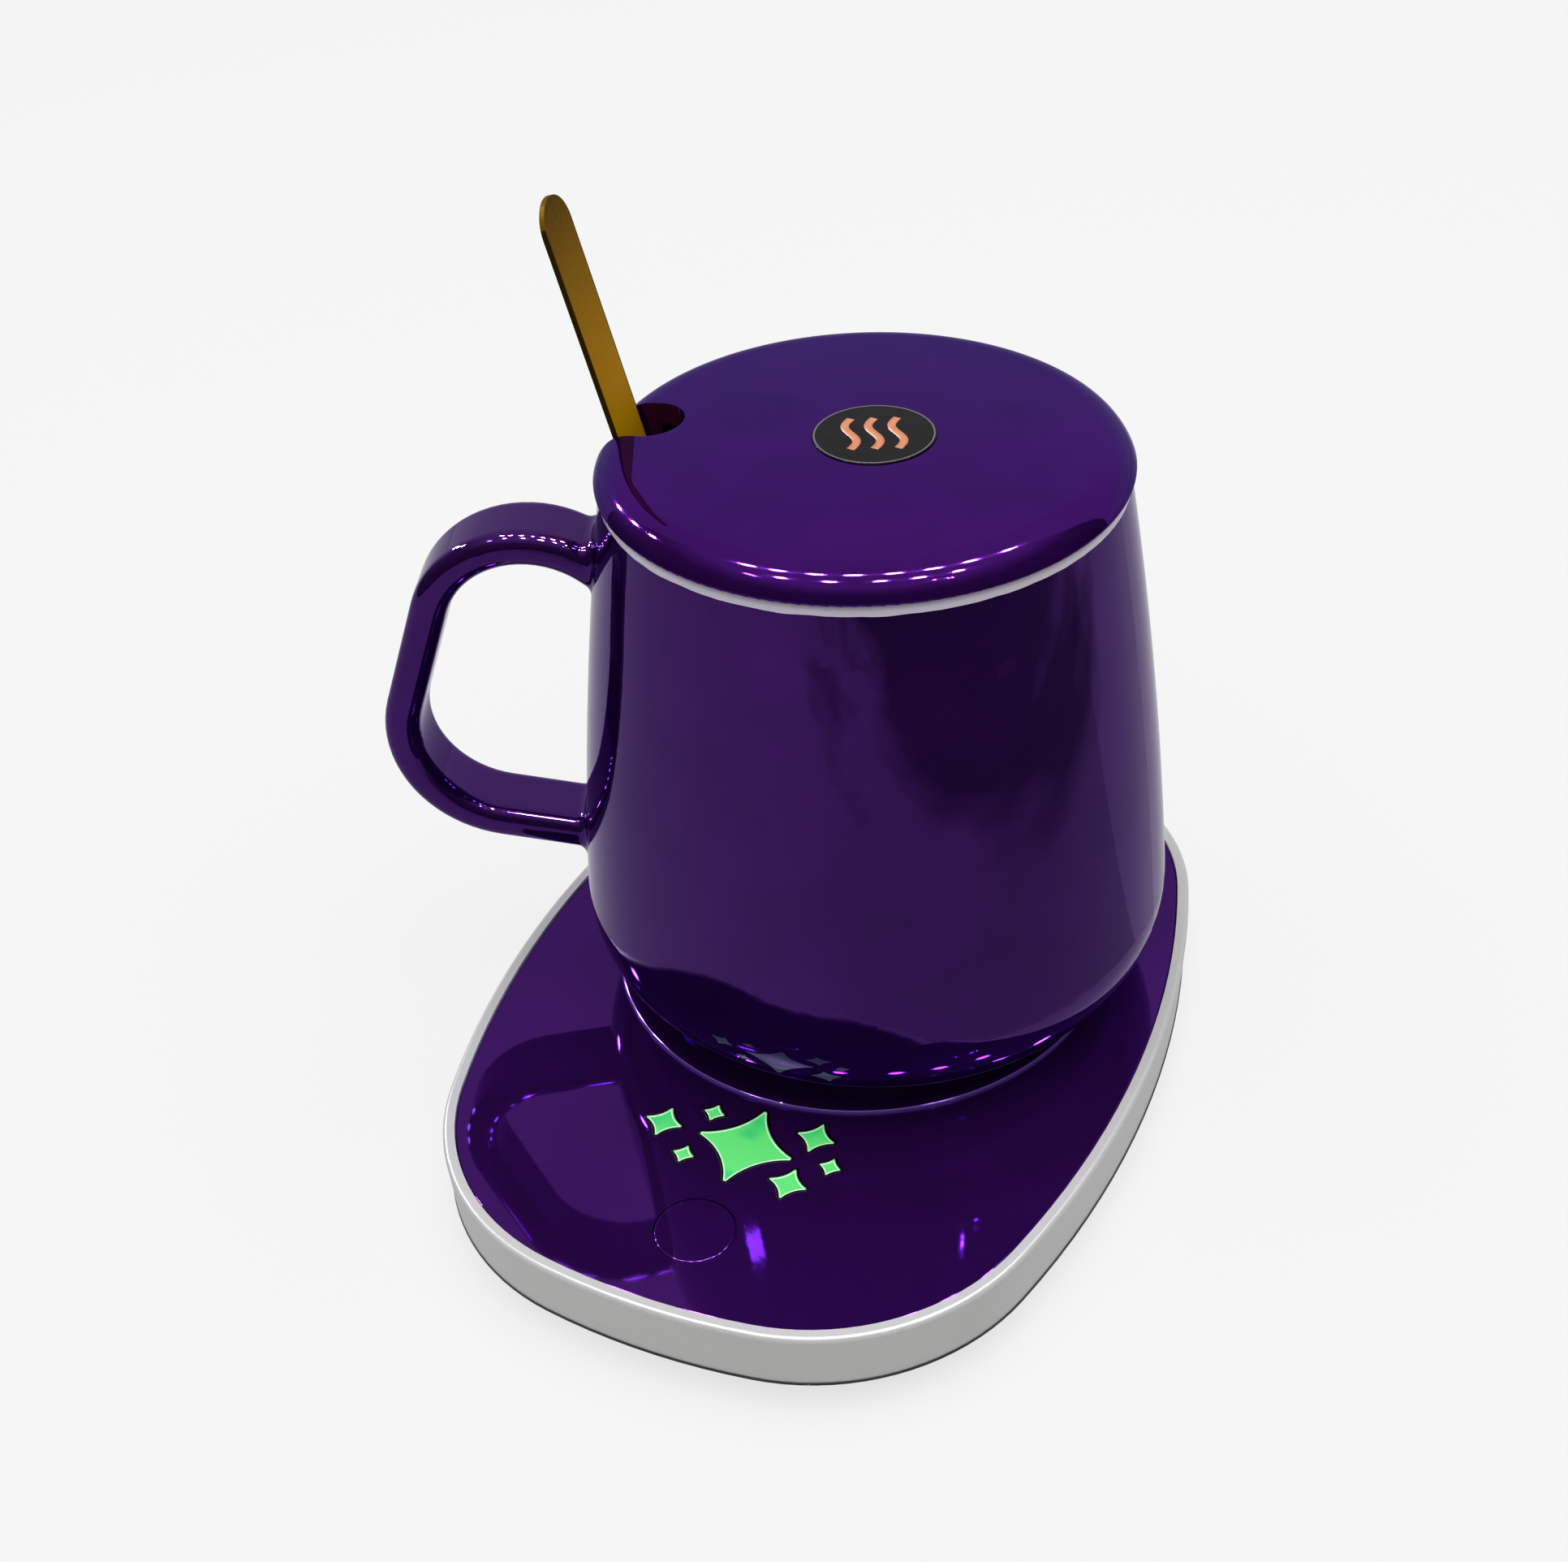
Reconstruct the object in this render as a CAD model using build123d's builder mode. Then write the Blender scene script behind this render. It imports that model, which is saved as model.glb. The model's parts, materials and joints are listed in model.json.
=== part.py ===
from build123d import *
import os
from math import atan, atan2, cos, degrees, hypot, radians, sin, sqrt, tan

# A mug on its electric warmer. Millimetres, +Z up, -Y is the warmer's front.
# The origin is on the surface that the warmer stands on, below the middle of the heating plate.

# Outline of the warmer, set by its top panel: two side arcs, two end arcs and four corner arcs,
# whose sizes and place are shares of the panel's half length
panel_half_length = 73.8
width_share = 0.7344
centre_share = 0.1585
side_share = 2.2358
end_share = 1.5312
corner_share = 0.5149

# Heights of the warmer
foot_height = 1.5
bevel_height = 4.1
seam_height = 0.4
wall_height = 10.0
panel_drop = 0.4
panel_thickness = 2.0
plate_proud = 0.8

# Housing and tray
rim_width = 2.0
rim_round = 0.8
panel_gap = 0.1
panel_edge_round = 0.3
wall_lean = 0.4
wall_thickness = 2.0
ledge_width = 6.0
ledge_thickness = 1.6
bevel_inset = 3.5
seam_depth = 0.8
tray_floor = 2.0
tongue_height = 1.5
tongue_thickness = 1.2
tongue_gap = 0.15

# Anti-slip ring under the tray
foot_inset = 12.0
foot_width = 5.0
foot_groove_depth = 1.0
foot_groove_gap = 0.1
foot_round = 0.4

# Screws of the housing
screw_inset = 8.0
screw_bearing = 24.0
pillar_radius = 3.2
pillar_joint_height = 6.5
housing_screw_radius = 1.2
housing_screw_length = 7.0
housing_head_radius = 2.6
housing_head_height = 1.6
screw_gap = 0.05
head_gap = 0.3
pilot_extra = 0.8
slot_share = 1.3
slot_width = 0.5
slot_depth = 0.5

# Heating plate and what is clamped under it
plate_share = 0.5775
plate_edge_round = 0.5
plate_depth = 3.0
plate_lap = 4.4
plate_fit = 0.2
film_inset = 6.0
film_thickness = 0.6
pad_thickness = 2.0
pan_thickness = 1.2
pan_rim_gap = 0.6
pan_rim_width = 2.0
pan_screw_inset = 3.0
pan_screw_count = 3
pan_boss_radius = 2.2
pan_screw_radius = 0.9
pan_screw_length = 2.8
pan_head_radius = 1.8
pan_head_height = 1.1
sensor_radius = 1.8
sensor_length = 3.6
sensor_gap = 0.4
fuse_radius = 0.9
fuse_length = 9.0
fuse_offset_x = 16.0
fuse_gap = 0.3

# Star windows in the panel: the largest fills the room between plate and button, and the others'
# reach, waist, tip rounding and places are shares of its reach
star_centre_x = 1.4
star_plate_gap = 0.6
star_button_gap = 3.03
large_star_shares = (1.0, 0.4945, 0.0385)
medium_star_shares = (0.43, 0.2033, 0.022)
small_star_shares = (0.23, 0.126, 0.0165)
medium_star_places = [(-1.593, 0.011), (1.077, 0.615), (1.044, -0.538)]
small_star_places = [(-0.846, 0.527), (-0.934, -0.560), (1.571, 0.077)]
star_fit = 0.05
lens_thickness = 1.5
lens_margin = 1.4
lens_corner = 2.0
light_box_wall = 1.2

# Circuit board and what it carries
board_thickness = 1.6
board_standoff = 2.1
parts_half_width = 25.0
board_margin = 6.6
board_lap = 7.4
board_front_gap = 8.0
board_screw_inset = 3.0
board_screw_rear_inset = 9.0
standoff_radius = 2.4
board_screw_radius = 0.9
board_screw_length = 3.2
board_head_radius = 1.8
board_head_height = 1.2
led_length = 3.5
led_width = 2.8
led_height = 1.4
led_share = 0.34
chip_length = 6.0
chip_width = 4.0
chip_height = 1.6
chip_leg_count = 4
chip_leg_pitch = 1.27
chip_leg_width = 0.5
chip_leg_reach = 1.0
chip_leg_thickness = 0.4
chip_offset_x = -13.0
transistor_size = 6.5
transistor_height = 2.3
transistor_offset_x = 10.5
tab_length = 2.0
tab_thickness = 1.0
capacitor_radius = 2.4
capacitor_height = 5.2
capacitor_base = 1.0
capacitor_inset = 5.4
capacitor_clear = 0.6

# Button and switch
button_ledge_gap = 1.0
button_hole_radius = 6.45
button_fit = 0.15
button_edge_round = 0.25
button_flange = 1.15
button_flange_thickness = 1.0
button_flange_gap = 0.1
button_stem_radius = 2.2
switch_size = 6.0
switch_height = 3.4
plunger_radius = 1.7
plunger_fit = 0.05
plunger_proud = 0.8
plunger_depth = 0.6
button_travel = 0.6
travel_spare = 0.2

# Power socket at the rear
inlet_height = 9.2
inlet_nose_radius = 2.6
inlet_nose_gap = 0.1
inlet_recess = 0.6
inlet_bore_radius = 1.9
inlet_bore_depth = 10.0
inlet_pin_radius = 0.65
inlet_pin_setback = 1.0
inlet_body_width = 8.0
inlet_body_length = 10.0
inlet_body_height = 5.4
inlet_body_gap = 4.0

# Inner wires
lead_radius = 0.6
heater_lead_x = -7.5
heater_lead_spacing = 3.0
power_lead_spacing = 6.0
lead_overlap = 3.0
lead_bend = 2.0
lead_hole_gap = 0.8

# Mug: heights are above the heating plate
mug_stand_x = 2.5
mug_stand_y = 1.4
mug_height = 93.5
lip_radius = 39.8
lip_thickness = 2.2
lip_round = 0.9
belly_radius = 49.0
belly_height = 20.0
side_bulge = 0.9
foot_ring_radius = 36.5
foot_ring_width = 4.0
foot_ring_height = 1.2
foot_ring_recess = 1.5
mug_floor = 6.5
mug_wall = 4.4
inside_corner = 12.0

# Handle, in its own upright plane through the mug's axis
handle_bearing = 201.0
handle_width = 13.0
handle_thickness = 5.8
handle_round = 2.6
handle_top_drop = 16.4
handle_shoulder_reach = 11.8
handle_shoulder_rise = 16.7
handle_knee_reach = 33.5
handle_knee_rise = 7.1
handle_bottom_rise = 7.0
handle_shoulder_radius = 16.6
handle_knee_radius = 17.8
handle_root_sink = 1.6
handle_blend = 2.0

# Lid
lid_gap = 0.3
lid_radius = 40.6
lid_foot_round = 0.3
lid_edge_height = 0.5
lid_shoulder_width = 5.2
lid_shoulder_rise = 3.7
lid_crown = 0.9
lid_thickness = 4.2
lid_ring_gap = 0.8
lid_ring_depth = 4.0
lid_ring_thickness = 2.8
notch_bearing = 188.5
notch_width = 11.0
notch_depth = 12.6
notch_mouth_radius = 3.5
badge_offset_x = 1.9
badge_radius = 9.3
badge_thickness = 0.7
badge_proud = 0.15
badge_gap = 0.1

# Spoon
spoon_lean = 13.5
spoon_width = 9.6
spoon_thickness = 0.8
spoon_length = 128.5
spoon_lip_gap = 0.3
spoon_floor_gap = 0.3
bowl_length = 40.0
bowl_width = 25.0
bowl_curve = 38.0
neck_width = 6.0
neck_length = 14.0

# Levels worked out from the heights above
tray_bottom = foot_height
tray_inside = tray_bottom + tray_floor
bevel_top = tray_bottom + bevel_height
wall_bottom = bevel_top + seam_height
rim_top = wall_bottom + wall_height
panel_top = rim_top - panel_drop
panel_bottom = panel_top - panel_thickness
ledge_bottom = panel_bottom - ledge_thickness
heater_top = panel_top + plate_proud
plate_bottom = panel_top - plate_depth
film_bottom = plate_bottom - film_thickness
pad_bottom = film_bottom - pad_thickness
pan_bottom = pad_bottom - pan_thickness
board_bottom = tray_inside + board_standoff
board_top = board_bottom + board_thickness
lens_bottom = panel_bottom - lens_thickness
handle_top_height = mug_height - handle_top_drop
handle_shoulder_height = handle_top_height + handle_shoulder_rise
handle_bottom_height = belly_height + handle_bottom_rise
handle_knee_height = handle_bottom_height + handle_knee_rise

# Plan of the panel and of what lies in it
panel_half_width = width_share * panel_half_length
panel_centre_y = -centre_share * panel_half_length
panel_rear_y = panel_centre_y + panel_half_length
panel_front_y = panel_centre_y - panel_half_length
side_radius = side_share * panel_half_length
end_radius = end_share * panel_half_length
corner_radius = corner_share * panel_half_length
plate_radius = plate_share * panel_half_length
opening_radius = plate_radius - plate_lap
film_radius = opening_radius - film_inset
pan_screw_reach = opening_radius - pan_screw_inset
button_x = star_centre_x
button_y = panel_front_y + ledge_width + button_ledge_gap + button_flange + button_hole_radius
star_field_rear = -plate_radius - star_plate_gap
star_field_front = button_y + button_hole_radius + star_button_gap
star_tip = (star_field_rear - star_field_front) / 2
star_centre_y = star_field_rear - star_tip
board_rear_y = board_lap - plate_radius

# Outlines as growth beyond the panel's own outline
rim_grow = panel_gap + rim_width
wall_bottom_grow = rim_grow - wall_lean
cavity_grow = wall_bottom_grow - wall_thickness
tongue_grow = cavity_grow - tongue_gap
tongue_hollow_grow = tongue_grow - tongue_thickness
bevel_at_floor = bevel_inset * (bevel_top - tray_inside) / bevel_height
tray_hollow_grow = wall_bottom_grow - bevel_at_floor - wall_thickness
foot_grow = -foot_inset
wall_angle = degrees(atan(wall_lean / wall_height))
bevel_angle = degrees(atan(bevel_inset / bevel_height))

# Centres and limits of the outline's arcs
side_centre_x = panel_half_width - side_radius
end_centre_y = panel_half_length - end_radius
centre_distance = hypot(side_centre_x, end_centre_y)
to_side = side_radius - corner_radius
to_end = end_radius - corner_radius
along = (to_side**2 - to_end**2 + centre_distance**2) / (2 * centre_distance)
across = sqrt(to_side**2 - along**2)
run_x = -side_centre_x / centre_distance
run_y = end_centre_y / centre_distance
corner_x = side_centre_x + along * run_x - across * run_y
corner_y = along * run_y + across * run_x
side_limit = degrees(atan2(corner_y, corner_x - side_centre_x))
end_limit = degrees(atan2(corner_y - end_centre_y, corner_x))

on_base = (Align.CENTER, Align.CENTER, Align.MIN)
hanging = (Align.CENTER, Align.CENTER, Align.MAX)


# The warmer's outline at a height, grown outwards or (when negative) inwards
def oval(height, grow):
    side = side_radius + grow
    end = end_radius + grow
    corner = corner_radius + grow
    sweep_angle = end_limit - side_limit
    with BuildSketch(Plane((0, panel_centre_y, height))) as outline:
        with BuildLine():
            for turn, way in ((0, 1), (180, -1)):
                CenterArc((way * side_centre_x, 0), side, turn - side_limit, 2 * side_limit)
                CenterArc((way * corner_x, way * corner_y), corner, turn + side_limit, sweep_angle)
                CenterArc((0, way * end_centre_y), end, turn + end_limit, 180 - 2 * end_limit)
                CenterArc((-way * corner_x, way * corner_y), corner, turn + 180 - end_limit, sweep_angle)
        make_face()
    return outline.sketch


# A four-pointed star whose hollow sides are circle arcs, drawn in by a fit
def star(x, y, height, form, fit):
    tip, waist, tip_round = form
    hollow_centre = (tip**2 - waist**2) / (2 * tip - 2 * sqrt(2) * waist)
    hollow_radius = sqrt(2) * hollow_centre - waist + fit
    reach = hollow_centre - sqrt(hollow_radius**2 - hollow_centre**2)
    middle = hollow_centre - hollow_radius * sqrt(0.5)
    with BuildSketch(Plane((x, y, height))) as outline:
        with BuildLine():
            ThreePointArc((reach, 0), (middle, middle), (0, reach))
            ThreePointArc((0, reach), (-middle, middle), (-reach, 0))
            ThreePointArc((-reach, 0), (-middle, -middle), (0, -reach))
            ThreePointArc((0, -reach), (middle, -middle), (reach, 0))
        make_face()
        fillet(outline.vertices(), tip_round)
    return outline.sketch


star_places = []
for shares, places in (
    (large_star_shares, [(0, 0)]),
    (medium_star_shares, medium_star_places),
    (small_star_shares, small_star_places),
):
    star_form = [share * star_tip for share in shares]
    for share_x, share_y in places:
        star_x = star_centre_x + share_x * star_tip
        star_y = star_centre_y + share_y * star_tip
        star_places.append((star_x, star_y, star_form))


# Screws with a cross slot, pointing up (+1) or down (-1) from the face that their heads bear on
def add_screws(points, seat, pointing, head_radius, head_height, shank_radius, shank_length):
    head_align = hanging if pointing > 0 else on_base
    shank_align = on_base if pointing > 0 else hanging
    slot_align = shank_align
    with Locations([(x, y, seat) for x, y in points]):
        Cylinder(head_radius, head_height, align=head_align)
        Cylinder(shank_radius, shank_length, align=shank_align)
    with Locations([(x, y, seat - pointing * head_height) for x, y in points]):
        Box(slot_share * head_radius, slot_width, slot_depth, align=slot_align, mode=Mode.SUBTRACT)
        Box(slot_width, slot_share * head_radius, slot_depth, align=slot_align, mode=Mode.SUBTRACT)


pillar_reach = corner_radius - screw_inset
pillar_x = corner_x + pillar_reach * cos(radians(screw_bearing))
pillar_y = corner_y + pillar_reach * sin(radians(screw_bearing))
pillars = []
for side in (-1, 1):
    for end in (-1, 1):
        pillars.append((side * pillar_x, panel_centre_y + end * pillar_y))
screw_seat = tray_bottom + housing_head_height + head_gap
inlet_wall_y = panel_rear_y + wall_bottom_grow
inlet_nose_y = inlet_wall_y - inlet_recess + wall_lean * (inlet_height - wall_bottom) / wall_height
inlet_body_y = panel_rear_y - inlet_body_gap

os.makedirs("parts", exist_ok=True)

with BuildPart() as upper_housing:
    extrude(oval(wall_bottom, wall_bottom_grow), amount=wall_height, taper=-wall_angle)
    fillet(upper_housing.edges().group_by(Axis.Z)[-1], rim_round)
    extrude(oval(wall_bottom, cavity_grow), amount=ledge_bottom - wall_bottom, mode=Mode.SUBTRACT)
    extrude(oval(ledge_bottom, -ledge_width), amount=ledge_thickness, mode=Mode.SUBTRACT)
    extrude(oval(panel_bottom, panel_gap), amount=rim_top - panel_bottom, mode=Mode.SUBTRACT)
    with Locations([(x, y, pillar_joint_height) for x, y in pillars]):
        Cylinder(pillar_radius, panel_bottom - pillar_joint_height, align=on_base)
        Cylinder(
            housing_screw_radius + screw_gap,
            screw_seat + housing_screw_length + pilot_extra - pillar_joint_height,
            align=on_base,
            mode=Mode.SUBTRACT,
        )
    with BuildSketch(Plane.XZ.offset(-panel_centre_y)):
        with Locations((0, inlet_height)):
            Circle(inlet_nose_radius + inlet_nose_gap)
    extrude(amount=-(panel_half_length + rim_grow), mode=Mode.SUBTRACT)
upper_housing.part.label = "upper_housing"
export_step(upper_housing.part, "parts/upper_housing.step")

# Light guide: the box round all star tips, with a margin, and the board that has to carry it
star_left = min(x - form[0] for x, y, form in star_places) - lens_margin
star_right = max(x + form[0] for x, y, form in star_places) + lens_margin
star_front = min(y - form[0] for x, y, form in star_places) - lens_margin
star_rear = max(y + form[0] for x, y, form in star_places) + lens_margin
lens_x = (star_left + star_right) / 2
lens_y = (star_front + star_rear) / 2
lens_length = star_right - star_left
lens_depth = star_rear - star_front
led_spacing = led_share * lens_length
board_half_width = max(parts_half_width, lens_length / 2 + board_margin)
board_front_y = panel_front_y - cavity_grow + board_front_gap
board_screw_x = board_half_width - board_screw_inset
board_screws_at = []
for side in (-1, 1):
    board_screws_at.append((side * board_screw_x, board_front_y + board_screw_inset))
    board_screws_at.append((side * board_screw_x, board_rear_y - board_screw_rear_inset))

with BuildPart() as base_tray:
    extrude(oval(bevel_top, wall_bottom_grow), amount=-bevel_height, taper=bevel_angle)
    extrude(oval(bevel_top, wall_bottom_grow - seam_depth), amount=seam_height)
    extrude(oval(wall_bottom, tongue_grow), amount=tongue_height)
    extrude(oval(wall_bottom, tongue_hollow_grow), amount=tongue_height, mode=Mode.SUBTRACT)
    extrude(oval(tray_inside, tray_hollow_grow), amount=wall_bottom - tray_inside, mode=Mode.SUBTRACT)
    extrude(oval(tray_bottom, foot_grow + foot_groove_gap), amount=foot_groove_depth, mode=Mode.SUBTRACT)
    extrude(oval(tray_bottom, foot_grow - foot_width - foot_groove_gap), amount=foot_groove_depth)
    with Locations([(x, y, tray_bottom) for x, y in pillars]):
        Cylinder(pillar_radius, pillar_joint_height - tray_bottom, align=on_base)
        Cylinder(
            housing_head_radius + head_gap,
            screw_seat - tray_bottom,
            align=on_base,
            mode=Mode.SUBTRACT,
        )
        Cylinder(
            housing_screw_radius + screw_gap,
            pillar_joint_height - tray_bottom,
            align=on_base,
            mode=Mode.SUBTRACT,
        )
    with Locations([(x, y, tray_inside) for x, y in board_screws_at]):
        Cylinder(standoff_radius, board_standoff, align=on_base)
    with Locations([(x, y, board_bottom) for x, y in board_screws_at]):
        Cylinder(
            board_screw_radius + screw_gap,
            board_screw_length - board_thickness + screw_gap,
            align=hanging,
            mode=Mode.SUBTRACT,
        )
    with Locations((0, inlet_body_y - inlet_body_length / 2, tray_inside)):
        Box(
            inlet_body_width,
            inlet_body_length,
            inlet_height - inlet_body_height / 2 - tray_inside,
            align=on_base,
        )
    with BuildSketch(Plane.XZ.offset(-inlet_body_y)):
        with Locations((0, inlet_height)):
            Circle(inlet_nose_radius + inlet_nose_gap)
    extrude(amount=inlet_body_y - inlet_nose_y, mode=Mode.SUBTRACT)
base_tray.part.label = "base_tray"
export_step(base_tray.part, "parts/base_tray.step")

with BuildPart() as foot_ring:
    extrude(oval(0, foot_grow), amount=foot_height + foot_groove_depth)
    extrude(oval(0, foot_grow - foot_width), amount=foot_height + foot_groove_depth, mode=Mode.SUBTRACT)
    fillet(foot_ring.edges().group_by(Axis.Z)[0], foot_round)
foot_ring.part.label = "foot_ring"
export_step(foot_ring.part, "parts/foot_ring.step")

with BuildPart() as housing_screws:
    add_screws(
        pillars,
        screw_seat,
        1,
        housing_head_radius,
        housing_head_height,
        housing_screw_radius,
        housing_screw_length,
    )
housing_screws.part.label = "housing_screws"
export_step(housing_screws.part, "parts/housing_screws.step")

with BuildPart() as top_panel:
    extrude(oval(panel_bottom, 0), amount=panel_thickness)
    fillet(top_panel.edges().group_by(Axis.Z)[-1], panel_edge_round)
    with BuildSketch(Plane.XY.offset(panel_bottom)):
        Circle(opening_radius)
        with Locations((button_x, button_y)):
            Circle(button_hole_radius)
    extrude(amount=panel_thickness, mode=Mode.SUBTRACT)
    for star_x, star_y, star_form in star_places:
        star_window = star(star_x, star_y, panel_bottom, star_form, 0)
        extrude(star_window, amount=panel_thickness, mode=Mode.SUBTRACT)
top_panel.part.label = "top_panel"
export_step(top_panel.part, "parts/top_panel.step")

# Heating plate with three hollow bosses below it for the pan's screws
with BuildPart() as heating_plate:
    with BuildSketch(Plane.XY.offset(panel_top)):
        Circle(plate_radius)
    extrude(amount=plate_proud)
    fillet(heating_plate.edges().group_by(Axis.Z)[-1], plate_edge_round)
    with BuildSketch(Plane.XY.offset(plate_bottom)):
        Circle(opening_radius - plate_fit)
    extrude(amount=plate_depth)
    with BuildSketch(Plane.XY.offset(pad_bottom)):
        with PolarLocations(pan_screw_reach, pan_screw_count, start_angle=90):
            Circle(pan_boss_radius)
    extrude(amount=plate_bottom - pad_bottom)
    with BuildSketch(Plane.XY.offset(pad_bottom)):
        with PolarLocations(pan_screw_reach, pan_screw_count, start_angle=90):
            Circle(pan_screw_radius + screw_gap)
    extrude(amount=pan_screw_length - pan_thickness + screw_gap, mode=Mode.SUBTRACT)
heating_plate.part.label = "heating_plate"
export_step(heating_plate.part, "parts/heating_plate.step")

lead_slot_length = heater_lead_spacing + 2 * (lead_radius + lead_hole_gap)
lead_slot_width = 2 * (lead_radius + lead_hole_gap)

with BuildPart() as film_heater:
    with BuildSketch(Plane.XY.offset(film_bottom)):
        Circle(film_radius)
        Circle(sensor_radius + sensor_gap, mode=Mode.SUBTRACT)
    extrude(amount=film_thickness)
film_heater.part.label = "film_heater"
export_step(film_heater.part, "parts/film_heater.step")

with BuildPart() as insulation_pad:
    with BuildSketch(Plane.XY.offset(pad_bottom)):
        Circle(film_radius)
        Circle(sensor_radius + sensor_gap, mode=Mode.SUBTRACT)
        with Locations((heater_lead_x, 0)):
            SlotOverall(lead_slot_length, lead_slot_width, mode=Mode.SUBTRACT)
        with Locations((fuse_offset_x, 0)):
            Rectangle(2 * (fuse_radius + fuse_gap), fuse_length + 2 * fuse_gap, mode=Mode.SUBTRACT)
    extrude(amount=pad_thickness)
insulation_pad.part.label = "insulation_pad"
export_step(insulation_pad.part, "parts/insulation_pad.step")

pan_inside_radius = opening_radius - plate_fit + pan_rim_gap
with BuildPart() as heater_pan:
    with BuildSketch(Plane.XY.offset(pan_bottom)):
        Circle(pan_inside_radius + pan_rim_width)
    extrude(amount=panel_bottom - pan_bottom)
    with BuildSketch(Plane.XY.offset(pad_bottom)):
        Circle(pan_inside_radius)
    extrude(amount=panel_bottom - pad_bottom, mode=Mode.SUBTRACT)
    with BuildSketch(Plane.XY.offset(pan_bottom)):
        Circle(sensor_radius + 2 * sensor_gap)
        with Locations((heater_lead_x, 0)):
            SlotOverall(lead_slot_length, lead_slot_width)
        with PolarLocations(pan_screw_reach, pan_screw_count, start_angle=90):
            Circle(pan_screw_radius + screw_gap)
    extrude(amount=pan_thickness, mode=Mode.SUBTRACT)
heater_pan.part.label = "heater_pan"
export_step(heater_pan.part, "parts/heater_pan.step")

pan_screws_at = []
for number in range(pan_screw_count):
    turn = radians(90 + number * 360 / pan_screw_count)
    pan_screws_at.append((pan_screw_reach * cos(turn), pan_screw_reach * sin(turn)))
with BuildPart() as pan_screws:
    add_screws(
        pan_screws_at,
        pan_bottom,
        1,
        pan_head_radius,
        pan_head_height,
        pan_screw_radius,
        pan_screw_length,
    )
pan_screws.part.label = "pan_screws"
export_step(pan_screws.part, "parts/pan_screws.step")

with BuildPart() as temperature_sensor:
    with Locations((0, 0, plate_bottom)):
        Cylinder(sensor_radius, sensor_length, align=hanging)
    fillet(temperature_sensor.edges().group_by(Axis.Z)[0], sensor_radius / 2)
temperature_sensor.part.label = "temperature_sensor"
export_step(temperature_sensor.part, "parts/temperature_sensor.step")

with BuildPart() as thermal_fuse:
    with BuildSketch(Plane.XZ.offset(-fuse_length / 2)):
        with Locations((fuse_offset_x, film_bottom - fuse_radius)):
            Circle(fuse_radius)
    extrude(amount=fuse_length)
    chamfer(thermal_fuse.edges(), fuse_radius / 4)
thermal_fuse.part.label = "thermal_fuse"
export_step(thermal_fuse.part, "parts/thermal_fuse.step")

with BuildPart() as star_lens:
    with BuildSketch(Plane.XY.offset(lens_bottom)):
        with Locations((lens_x, lens_y)):
            RectangleRounded(lens_length, lens_depth, lens_corner)
    extrude(amount=lens_thickness)
    for star_x, star_y, star_form in star_places:
        extrude(star(star_x, star_y, panel_bottom, star_form, star_fit), amount=panel_thickness)
star_lens.part.label = "star_lens"
export_step(star_lens.part, "parts/star_lens.step")

with BuildPart() as light_box:
    with BuildSketch(Plane.XY.offset(board_top)):
        with Locations((lens_x, lens_y)):
            RectangleRounded(lens_length, lens_depth, lens_corner)
            RectangleRounded(
                lens_length - 2 * light_box_wall,
                lens_depth - 2 * light_box_wall,
                lens_corner - light_box_wall,
                mode=Mode.SUBTRACT,
            )
    extrude(amount=lens_bottom - board_top)
light_box.part.label = "light_box"
export_step(light_box.part, "parts/light_box.step")

with BuildPart() as led_lights:
    with Locations([(lens_x + number * led_spacing, lens_y, board_top) for number in (-1, 0, 1)]):
        Box(led_length, led_width, led_height, align=on_base)
led_lights.part.label = "led_lights"
export_step(led_lights.part, "parts/led_lights.step")

with BuildPart() as circuit_board:
    with BuildSketch(Plane.XY.offset(board_bottom)):
        with Locations((0, (board_front_y + board_rear_y) / 2)):
            Rectangle(2 * board_half_width, board_rear_y - board_front_y)
        with Locations(board_screws_at):
            Circle(board_screw_radius + screw_gap, mode=Mode.SUBTRACT)
    extrude(amount=board_thickness)
circuit_board.part.label = "circuit_board"
export_step(circuit_board.part, "parts/circuit_board.step")

with BuildPart() as board_screws:
    add_screws(
        board_screws_at,
        board_top,
        -1,
        board_head_radius,
        board_head_height,
        board_screw_radius,
        board_screw_length,
    )
board_screws.part.label = "board_screws"
export_step(board_screws.part, "parts/board_screws.step")

with BuildPart() as control_chip:
    with Locations((chip_offset_x, button_y, board_top)):
        Box(chip_length, chip_width, chip_height, align=on_base)
    first_leg = -(chip_leg_count - 1) / 2
    for number in range(chip_leg_count):
        leg_x = chip_offset_x + (first_leg + number) * chip_leg_pitch
        with Locations((leg_x, button_y, board_top)):
            Box(chip_leg_width, chip_width + 2 * chip_leg_reach, chip_leg_thickness, align=on_base)
control_chip.part.label = "control_chip"
export_step(control_chip.part, "parts/control_chip.step")

with BuildPart() as power_transistor:
    with Locations((transistor_offset_x, button_y, board_top)):
        Box(transistor_size, transistor_size, transistor_height, align=on_base)
    with Locations((transistor_offset_x + (transistor_size + tab_length) / 2, button_y, board_top)):
        Box(tab_length, transistor_size, tab_thickness, align=on_base)
power_transistor.part.label = "power_transistor"
export_step(power_transistor.part, "parts/power_transistor.step")

capacitor_y = star_front - capacitor_radius - capacitor_clear
with BuildPart() as smoothing_capacitor:
    with Locations((board_half_width - capacitor_inset, capacitor_y, board_top)):
        Box(2 * capacitor_radius, 2 * capacitor_radius, capacitor_base, align=on_base)
        Cylinder(capacitor_radius, capacitor_height, align=on_base)
smoothing_capacitor.part.label = "smoothing_capacitor"
export_step(smoothing_capacitor.part, "parts/smoothing_capacitor.step")

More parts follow.
